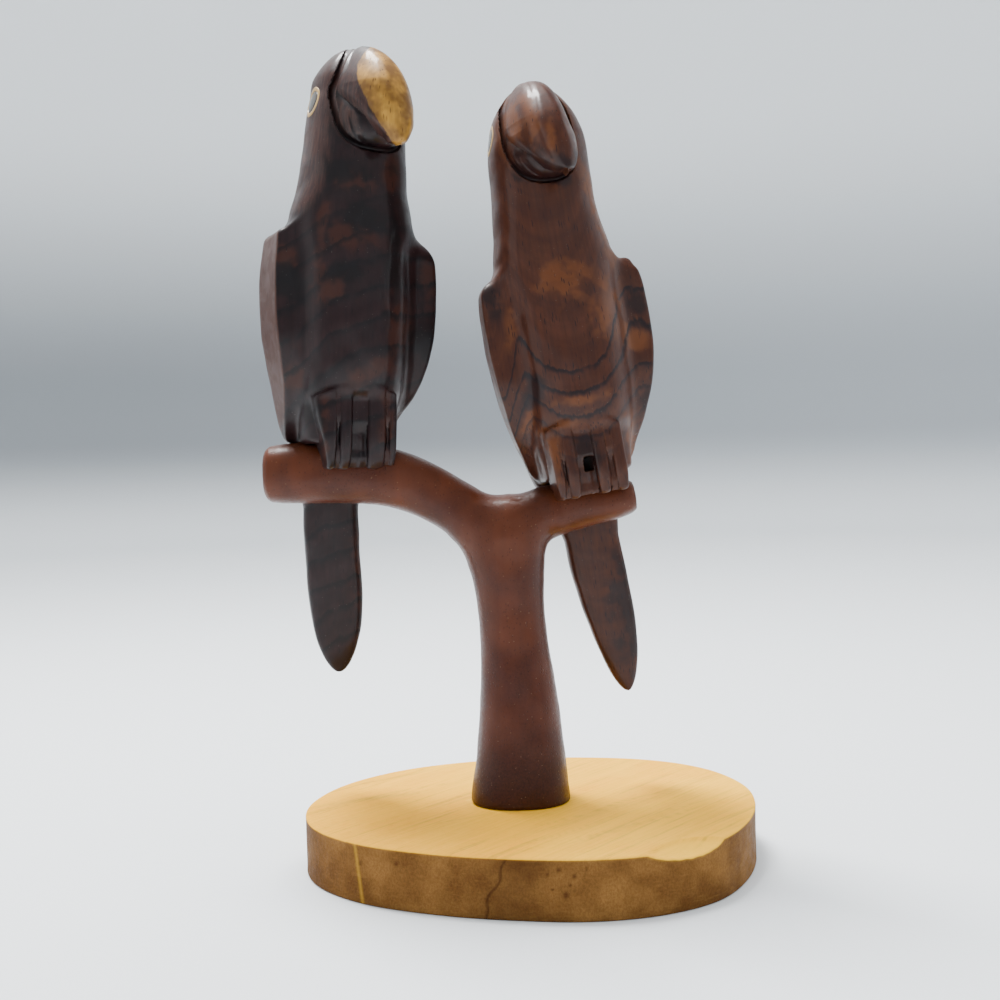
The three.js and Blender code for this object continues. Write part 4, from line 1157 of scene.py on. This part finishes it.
def face_out(mesh):
    """Turns every face of a closed mesh outwards."""
    form = bmesh.new()
    form.from_mesh(mesh)
    bmesh.ops.recalc_face_normals(form, faces=form.faces[:])
    form.to_mesh(mesh)
    form.free()


# The base

BASE_OUTLINE = [
    (-46, -2), (-43.2, -17), (-33.5, -28.8), (-18, -37), (0, -41.8), (14, -43), (27, -40.2),
    (38, -33.2), (46, -20.5), (50.3, -5), (50, 8.5), (44, 22.5), (32, 32.5), (13, 37.2), (-9, 36),
    (-27.5, 28.6), (-40.5, 15.5),
]
BASE_PLACES = 56
RIM_INSET = 0.08
CHIP_PLACE = (32.5, -37.6)
CHIP_TURN = math.radians(32)


def scoop(x, y):
    """How deep in the scoop a place on the top lies, from 0 at its edge to 1."""
    c, d = math.cos(CHIP_TURN), math.sin(CHIP_TURN)
    along = c * (x - CHIP_PLACE[0]) + d * (y - CHIP_PLACE[1])
    away = c * (y - CHIP_PLACE[1]) - d * (x - CHIP_PLACE[0])
    wide = np.where(along < 0, 10.5, 8.6)
    return np.maximum(0, 1 - (along / wide) ** 2 - (away / 5.6) ** 2)


def base_top(x, y):
    """The height of the top of the base: faint hollows and the worn scoop."""
    waves = 0.05 * np.sin(0.11 * x + 0.6) * np.sin(0.13 * y + 1.9) - 0.05
    rough = 0.07 * scoop(x, y) * np.sin(2.1 * x + 0.9 * y) * np.sin(1.7 * y - 0.6 * x)
    return BASE_TOP + waves - 1.75 * scoop(x, y) ** 0.8 + rough


def base_rings(rounding):
    """Closed rings of the base from the middle of its top, over the rim, to the middle below."""
    rim = spline(BASE_OUTLINE, BASE_PLACES, closed=True)
    middle = rim.mean(axis=0)
    step = np.roll(rim, -1, axis=0) - np.roll(rim, 1, axis=0)
    out = np.stack([step[:, 1], -step[:, 0]], axis=1) / np.linalg.norm(step, axis=1)[:, None]
    rim = rim - RIM_INSET * out
    rings = []
    shares = np.concatenate([np.linspace(0.03, 0.70, 20), np.linspace(0.715, 0.985, 30)])
    for share in shares:
        at = middle + (rim - rounding * out - middle) * share
        rings.append(np.column_stack([at, base_top(*at.T)]))
    at = rim - rounding * out
    top = base_top(*at.T)
    for angle in np.radians(np.linspace(0, 90, 7)):
        flat = at + rounding * math.sin(angle) * out
        rings.append(np.column_stack([flat, top - rounding * (1 - math.cos(angle))]))
    wall = rings[-1][:, 2]
    for share in np.linspace(0, 1, 28)[1:-1]:
        z = wall + (rounding - wall) * share
        saw = 0.02 * np.sin(0.5 * z + 0.30 * rim[:, 0] - 0.2 * rim[:, 1])
        crack = 0.3 * bump(side_crack(rim[:, 0], rim[:, 1], z), 0.22)
        flat = rim - (0.04 + saw + crack)[:, None] * out * math.sin(math.pi * share) ** 0.4
        rings.append(np.column_stack([flat, z]))
    for angle in np.radians(np.linspace(90, 0, 6)):
        flat = at + rounding * math.sin(angle) * out
        rings.append(np.column_stack([flat, np.full(len(rim), rounding * (1 - math.cos(angle)))]))
    for share in np.linspace(0.95, 0.05, 6):
        flat = middle + (at - middle) * share
        rings.append(np.column_stack([flat, np.zeros(len(rim))]))
    return rings


def side_crack(x, y, z):
    """How far beside the slanting crack in the front of the rim a place lies."""
    line = -3.6 - 4.0 * smooth_step(12.4, 0.5, z) + 0.4 * np.sin(1.1 * z)
    return np.where(y < 0, x - line, 99)


# Knots in the front of the rim: place across, height and size
KNOTS = (
    (4.2, 8.9, 0.35), (6.3, 9.9, 0.5), (9.2, 8.8, 0.45), (5.1, 6.2, 0.3), (7.6, 5.2, 0.6), (8.4, 7.1, 0.3),
    (11.5, 10.1, 0.3), (-32, 8, 0.4), (-24.5, 9.2, 0.4))
TOP_STREAKS = (
    # Middle across and away, half length, half width, turn and strength
    (-32, 19, 15, 0.7, 40, 0.7), (-33, 3, 13, 1.6, 26, 0.75), (-28, 8, 16, 0.6, 30, 0.55),
    (-41, -4, 6, 2.0, 40, 0.5), (24, -3, 30, 0.35, 42, 0.7), (17, -12, 26, 1.3, 42, 0.35),
    (34, 4, 22, 0.3, 44, 0.55), (25, -20, 20, 0.3, 38, 0.55), (20, -24, 14, 0.25, 36, 0.5),
    (38, -6, 14, 0.3, 46, 0.4), (8, -26, 10, 0.25, 40, 0.45), (-12, -14, 9, 0.3, 34, 0.35))


def base_marks(points):
    """Where the base is rim, raw wood, streaked, amber, cracked and marked by the post's foot."""
    x, y, z = points.T
    edge_drop = base_top(x, y) - z
    rim = smooth_step(0.12, 0.5, edge_drop)
    streaks = np.zeros_like(x)
    for cx, cy, length, width, turn, strength in TOP_STREAKS:
        c, d = math.cos(math.radians(turn)), math.sin(math.radians(turn))
        u, v = c * (x - cx) + d * (y - cy), c * (y - cy) - d * (x - cx)
        v = v + 0.5 * np.sin(0.25 * u + cx)
        streaks = np.maximum(streaks, strength * np.exp(-((u / length) ** 4 + (v / width) ** 2)))
    front = y < 0
    knots = np.zeros_like(x)
    for kx, kz, size in KNOTS:
        knots = np.maximum(knots, np.exp(-((x - kx) ** 2 + (z - kz) ** 2) / size**2))
    crack = bump(side_crack(x, y, z) - 0.1, 0.35)
    stain = 0.55 * bump(side_crack(x, y, z) - 3.5, 5.0) + 0.35 * bump(x + 44, 3.0)
    line = bump(x + 32.3 + 0.12 * (z - 6), 0.3)
    distance = np.hypot(x / 10.6, y / 9.7) - 1
    return {
        "rim": rim, "streaks": streaks, "raw": smooth_step(0.02, 0.5, scoop(x, y)),
        "amber_side": smooth_step(2, -38, x + 0.4 * y) + 0.6 * patches(x, y, ((4, -22, 12, 8, 40),)),
        "side_marks": np.where(front, np.maximum(np.maximum(knots, crack), stain), 0),
        "side_pale": np.where(front, line, 0),
        "edge": bump(edge_drop - 0.12, 0.28), "foot_ring": bump(distance - 0.05, 0.07),
    }


# Settings that a user would change

def colour_setting(name, description, default):
    return bpy.props.FloatVectorProperty(
        name=name, description=description, subtype="COLOR", size=3, min=0, max=1, default=default)


class BaseSettings(bpy.types.PropertyGroup):
    rim_rounding: bpy.props.FloatProperty(
        name="Rim Rounding", description="How far the sawn rim of the base is eased",
        default=0.45 * MM, min=0.1 * MM, max=2 * MM, unit="LENGTH")
    top: colour_setting("Top", "Main colour of the top", (1.0, 0.44, 0.005))
    amber: colour_setting("Amber", "Warmer areas of the top", (0.88, 0.32, 0.005))
    pale: colour_setting("Pale", "Raw and rubbed wood", (1.0, 0.56, 0.045))
    streak: colour_setting("Streaks", "Brown grain lines on the top", (0.22, 0.07, 0.012))
    side: colour_setting("Rim", "Sawn side of the base", (0.14, 0.062, 0.017))
    side_light: colour_setting("Light Rim", "Lighter areas of the side", (0.26, 0.125, 0.035))
    side_dark: colour_setting("Dark Rim", "Pores, knots and crack in the side", (0.035, 0.011, 0.004))


class BranchSettings(bpy.types.PropertyGroup):
    body: colour_setting("Branch", "Main colour of the branch", (0.043, 0.0088, 0.0036))
    light: colour_setting("Light Branch", "Lighter, rubbed areas", (0.090, 0.0225, 0.0078))
    dark: colour_setting("Dark Branch", "Grain lines and hollows", (0.016, 0.0037, 0.0022))
    dust: colour_setting("Dust", "Pale specks on the branch", (0.30, 0.18, 0.10))


class ParrotSettings(bpy.types.PropertyGroup):
    body: colour_setting("Wood", "Main colour of the wood", (0.0098, 0.0026, 0.0031))
    second: colour_setting("Second Band", "Every other growth band", (0.0180, 0.0054, 0.0058))
    warm: colour_setting("Warm", "Orange-brown patches", (0.036, 0.0094, 0.0048))
    dark: colour_setting("Dark", "Near-black patches and hollows", (0.0030, 0.0012, 0.0016))
    line: colour_setting("Ring Lines", "Dark lines between growth bands", (0.0034, 0.0014, 0.0022))
    # Painted light on left-facing sides; on the dark parrot also a pale knot.
    pale: colour_setting("Lit Side", "Lighter wood on the left-hand side", (0.074, 0.029, 0.019))
    gloss: bpy.props.FloatProperty(
        name="Gloss", description="How thick the varnish is", default=0.22, min=0, max=1,
        subtype="FACTOR")


class InlaySettings(bpy.types.PropertyGroup):
    sapwood: colour_setting("Sapwood", "Pale beak of the dark parrot", (0.46, 0.235, 0.038))
    sapwood_ochre: colour_setting("Ochre Sapwood", "Darker areas of the pale beak", (0.135, 0.060, 0.010))
    ring: colour_setting("Eye Ring", "Pale ring round each eye", (0.45, 0.27, 0.085))
    pupil: colour_setting("Pupil", "Disc inside each ring", (0.05, 0.04, 0.03))


class StageSettings(bpy.types.PropertyGroup):
    floor: colour_setting("Floor", "Colour of the floor", (0.81, 0.84, 0.86))
    # Painted shade: the backdrop is coloured darker than the floor where the sweep turns up.
    wall: colour_setting("Backdrop", "Colour low on the backdrop", (0.33, 0.357, 0.384))
    lens: bpy.props.FloatProperty(
        name="Lens", description="Focal length of the camera on its 36 mm sensor",
        default=46.8, min=20, max=200, unit="CAMERA")
    ceiling: bpy.props.FloatProperty(
        name="Ceiling Light", description="Power of the broad light overhead",
        default=27.0, min=0, unit="POWER")
    window: bpy.props.FloatProperty(
        name="Window Light", description="Power of the small light above",
        default=8.0, min=0, unit="POWER")
    sides: bpy.props.FloatProperty(
        name="Side Lights", description="Power of each side panel", default=0.7, min=0, unit="POWER")
    room: bpy.props.FloatProperty(
        name="Room Light", description="Strength of the even light from all round",
        default=0.30, min=0, max=5)


class PairSettings(bpy.types.PropertyGroup):
    base: bpy.props.PointerProperty(type=BaseSettings)
    branch: bpy.props.PointerProperty(type=BranchSettings)
    dark: bpy.props.PointerProperty(type=ParrotSettings)
    red: bpy.props.PointerProperty(type=ParrotSettings)
    inlay: bpy.props.PointerProperty(type=InlaySettings)
    stage: bpy.props.PointerProperty(type=StageSettings)


# The red parrot's own colours, set once the settings exist
RED_COLOURS = {
    "body": (0.044, 0.0108, 0.0042), "second": (0.062, 0.0165, 0.0062), "warm": (0.122, 0.037, 0.0095),
    "dark": (0.0105, 0.0032, 0.0032), "line": (0.0055, 0.0020, 0.0038), "pale": (0.08, 0.034, 0.022),
    "gloss": 0.22,
}


# The steps

class PARROTPAIR_OT_base(bpy.types.Operator):
    """Make the oval base with its worn rim"""

    bl_idname = "parrot_pair.base"
    bl_label = "Make Base"

    def execute(self, context):
        rings = base_rings(settings().base.rim_rounding / MM)
        count = len(rings[0])
        points = np.concatenate(rings)
        faces = bands(len(rings), count)
        faces += [list(range(count)), list(range(len(points) - 1, len(points) - count - 1, -1))]
        piece = new_piece(
            "sawn_base", points, faces, Matrix.Identity(4), base_wood(settings().base),
            marks=base_marks(points))
        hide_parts("base_slab")
        return {"FINISHED"}


BRANCH_GRID = 0.5


def branch_marks(points, normals):
    x, y, z = points.T
    ends = np.maximum(smooth_step(-50.0, -53, x), 0.5 * smooth_step(22, 25.5, x))
    # The post gets darker towards its foot, and undersides are painted darker as painted shade.
    under = smooth_step(0.2, 0.9, -normals[:, 2])
    return {"pale_end": ends, "dark_foot_and_underside_shade": np.maximum(smooth_step(34, 16, z), 0.4 * under)}


class PARROTPAIR_OT_branch(bpy.types.Operator):
    """Make the forked branch that carries both parrots"""

    bl_idname = "parrot_pair.branch"
    bl_label = "Make Branch"

    def execute(self, context):
        grid = (
            levels((-54, 27, BRANCH_GRID)), levels((-11, 11, BRANCH_GRID)),
            levels((11.5, 92, BRANCH_GRID)))
        piece = carved_piece(
            "forked_branch", branch_skin, grid, Matrix.Identity(4), branch_wood(settings().branch),
            branch_marks)
        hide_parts("branch_perch")
        return {"FINISHED"}


# Spacing of the grid over body, head, front and feet
COARSE, FINE, FRONT, FEET = 0.55, 0.27, 0.3, 0.4


class PARROTPAIR_OT_parrots(bpy.types.Operator):
    """Make the two carved parrots"""

    bl_idname = "parrot_pair.parrots"
    bl_label = "Make Parrots"

    def execute(self, context):
        pair = settings()
        for bird, own, marks, figure in (
            (LEFT_PARROT, pair.dark, dark_marks, (6.4, 5.0, 0.30)),
            (RIGHT_PARROT, pair.red, red_marks, (4.6, 1.3, 0.55)),
        ):
            fine0, fine1 = bird["fine_x"]
            tip = bird["tail_taper"][1]
            grid = (
                levels((-20.2, fine0, COARSE), (fine0, fine1, FINE), (fine1, 20.2, COARSE)),
                levels((-20.6, 1.5, FRONT), (1.5, 16.2, COARSE)),
                levels(
                    (tip - 1.2, -1.5, COARSE), (-1.5, 19.5, FEET), (19.5, 65.5, COARSE),
                    (65.5, 91.2, FINE)),
            )
            material = rosewood(bird["slot"].replace("_", " "), own, pair.inlay, *figure)
            piece = carved_piece(
                bird["piece"], parrot_skin(bird), grid, place_of(bird), material, marks)
            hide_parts(bird["node"])
        return {"FINISHED"}


class PARROTPAIR_OT_eyes(bpy.types.Operator):
    """Let the pale rings and dark pupils into the sides of both heads"""

    bl_idname = "parrot_pair.eyes"
    bl_label = "Make Eyes"

    def execute(self, context):
        own = settings().inlay
        pale = inlay_wood("pale eye ring wood", own.ring, [0.7 * v for v in own.ring], 0.35)
        dark = inlay_wood("dark pupil wood", own.pupil, [0.5 * v for v in own.pupil], 0.25)
        for bird in (LEFT_PARROT, RIGHT_PARROT):
            for side_name, side in (("left", -1), ("right", 1)):
                eye_piece(bird, side_name, side, "ring", RING_SECTION, pale)
                eye_piece(bird, side_name, side, "pupil", PUPIL_SECTION, dark)
        return {"FINISHED"}


SWEEP_STEPS = 120
SWEEP_FLOOR = 1.05
SWEEP_BEND = 0.35
CAMERA_PLACE = (-2.8, -281, 87.9)
CAMERA_TILT = 2.17
CAMERA_ROLL = 1.46


class PARROTPAIR_OT_stage(bpy.types.Operator):
    """Set the pale floor, the soft lights and the camera"""

    bl_idname = "parrot_pair.stage"
    bl_label = "Set Stage"

    def execute(self, context):
        stage = settings().stage
        section = [(r, 0) for r in (0.05, 0.2, 0.5, SWEEP_FLOOR)]
        section += [
            (SWEEP_FLOOR + SWEEP_BEND * math.sin(a), SWEEP_BEND - SWEEP_BEND * math.cos(a))
            for a in np.radians(np.arange(5, 91, 5))
        ]
        section += [(SWEEP_FLOOR + SWEEP_BEND, z) for z in (0.7, 1.2, 1.9)]
        points = [
            (r * math.cos(2 * math.pi * k / SWEEP_STEPS), r * math.sin(2 * math.pi * k / SWEEP_STEPS), z)
            for r, z in section for k in range(SWEEP_STEPS)
        ]
        faces = [*bands(len(section), SWEEP_STEPS), list(range(SWEEP_STEPS))]
        mesh = bpy.data.meshes.new("paper_sweep")
        mesh.from_pydata(points, [], faces)
        mesh.polygons.foreach_set("use_smooth", np.ones(len(mesh.polygons), bool))
        mesh.materials.append(paper(stage.floor, stage.wall))
        layer = mesh.attributes.new("own_place", "FLOAT_VECTOR", "POINT")
        layer.data.foreach_set("vector", (np.array(points) / MM).astype(np.float32).ravel())
        sweep = bpy.data.objects.new("paper_sweep", mesh)
        collection().objects.link(sweep)

        for name, place, size, power, target in (
            ("ceiling", (0, 0.3, 1.3), (1.6, 1.6), stage.ceiling, (0, 0.3, 0)),
            ("window", (-0.13, 0.12, 0.60), (0.14, 0.23), stage.window, (0, 0, 0.12)),
            ("left_panel", (-0.75, -0.15, 0.25), (0.5, 0.5), stage.sides, (0, 0, 0.1)),
            ("right_panel", (0.75, 0.1, 0.25), (0.5, 0.5), stage.sides, (0, 0, 0.1)),
        ):
            light = bpy.data.lights.new(name, "AREA")
            light.shape = "RECTANGLE"
            light.size, light.size_y = size
            light.energy = power
            lamp = bpy.data.objects.new(name, light)
            lamp.location = place
            lamp.visible_glossy = name != "ceiling"
            lamp.rotation_euler = (Vector(target) - Vector(place)).to_track_quat("-Z", "Y").to_euler()
            collection().objects.link(lamp)
        world = bpy.data.worlds.new("soft_room")
        world.use_nodes = True
        world.node_tree.nodes["Background"].inputs["Color"].default_value = (0.86, 0.93, 1.0, 1)
        world.node_tree.nodes["Background"].inputs["Strength"].default_value = stage.room
        context.scene.world = world

        lens = bpy.data.cameras.new("camera")
        lens.lens = stage.lens
        lens.sensor_width = 36
        lens.clip_start, lens.clip_end = 0.01, 20
        camera = bpy.data.objects.new("camera", lens)
        camera.matrix_world = (
            Matrix.Translation(Vector(CAMERA_PLACE) * MM + POST_AXIS)
            @ Matrix.Rotation(math.radians(90 - CAMERA_TILT), 4, "X")
            @ Matrix.Rotation(math.radians(-CAMERA_ROLL), 4, "Z")
        )
        collection().objects.link(camera)
        context.scene.camera = camera
        return {"FINISHED"}


STEPS = (
    PARROTPAIR_OT_base, PARROTPAIR_OT_branch, PARROTPAIR_OT_parrots, PARROTPAIR_OT_eyes,
    PARROTPAIR_OT_stage,
)


class PARROTPAIR_PT_panel(bpy.types.Panel):
    """The steps that build the carved pair, in order, and their settings"""

    bl_idname = "PARROTPAIR_PT_panel"
    bl_label = "Carved Parrot Pair"
    bl_space_type = "VIEW_3D"
    bl_region_type = "UI"
    bl_category = TAB

    def draw(self, context):
        layout = self.layout
        for step in STEPS:
            layout.operator(step.bl_idname)
        pair = context.scene.parrot_pair
        for title in ("base", "branch", "dark", "red", "inlay", "stage"):
            box = layout.box()
            box.label(text=title.capitalize())
            for key in getattr(pair, title).__annotations__:
                box.prop(getattr(pair, title), key)


CLASSES = (
    BaseSettings, BranchSettings, ParrotSettings, InlaySettings, StageSettings, PairSettings, *STEPS,
    PARROTPAIR_PT_panel,
)


def register():
    for each in CLASSES:
        bpy.utils.register_class(each)
    bpy.types.Scene.parrot_pair = bpy.props.PointerProperty(type=PairSettings)
    for key, value in RED_COLOURS.items():
        setattr(settings().red, key, value)


def unregister():
    del bpy.types.Scene.parrot_pair
    for each in reversed(CLASSES):
        bpy.utils.unregister_class(each)


def main():
    register()
    bpy.ops.parrot_pair.base()
    bpy.ops.parrot_pair.branch()
    bpy.ops.parrot_pair.parrots()
    bpy.ops.parrot_pair.eyes()
    bpy.ops.parrot_pair.stage()


if __name__ == "__main__":
    main()
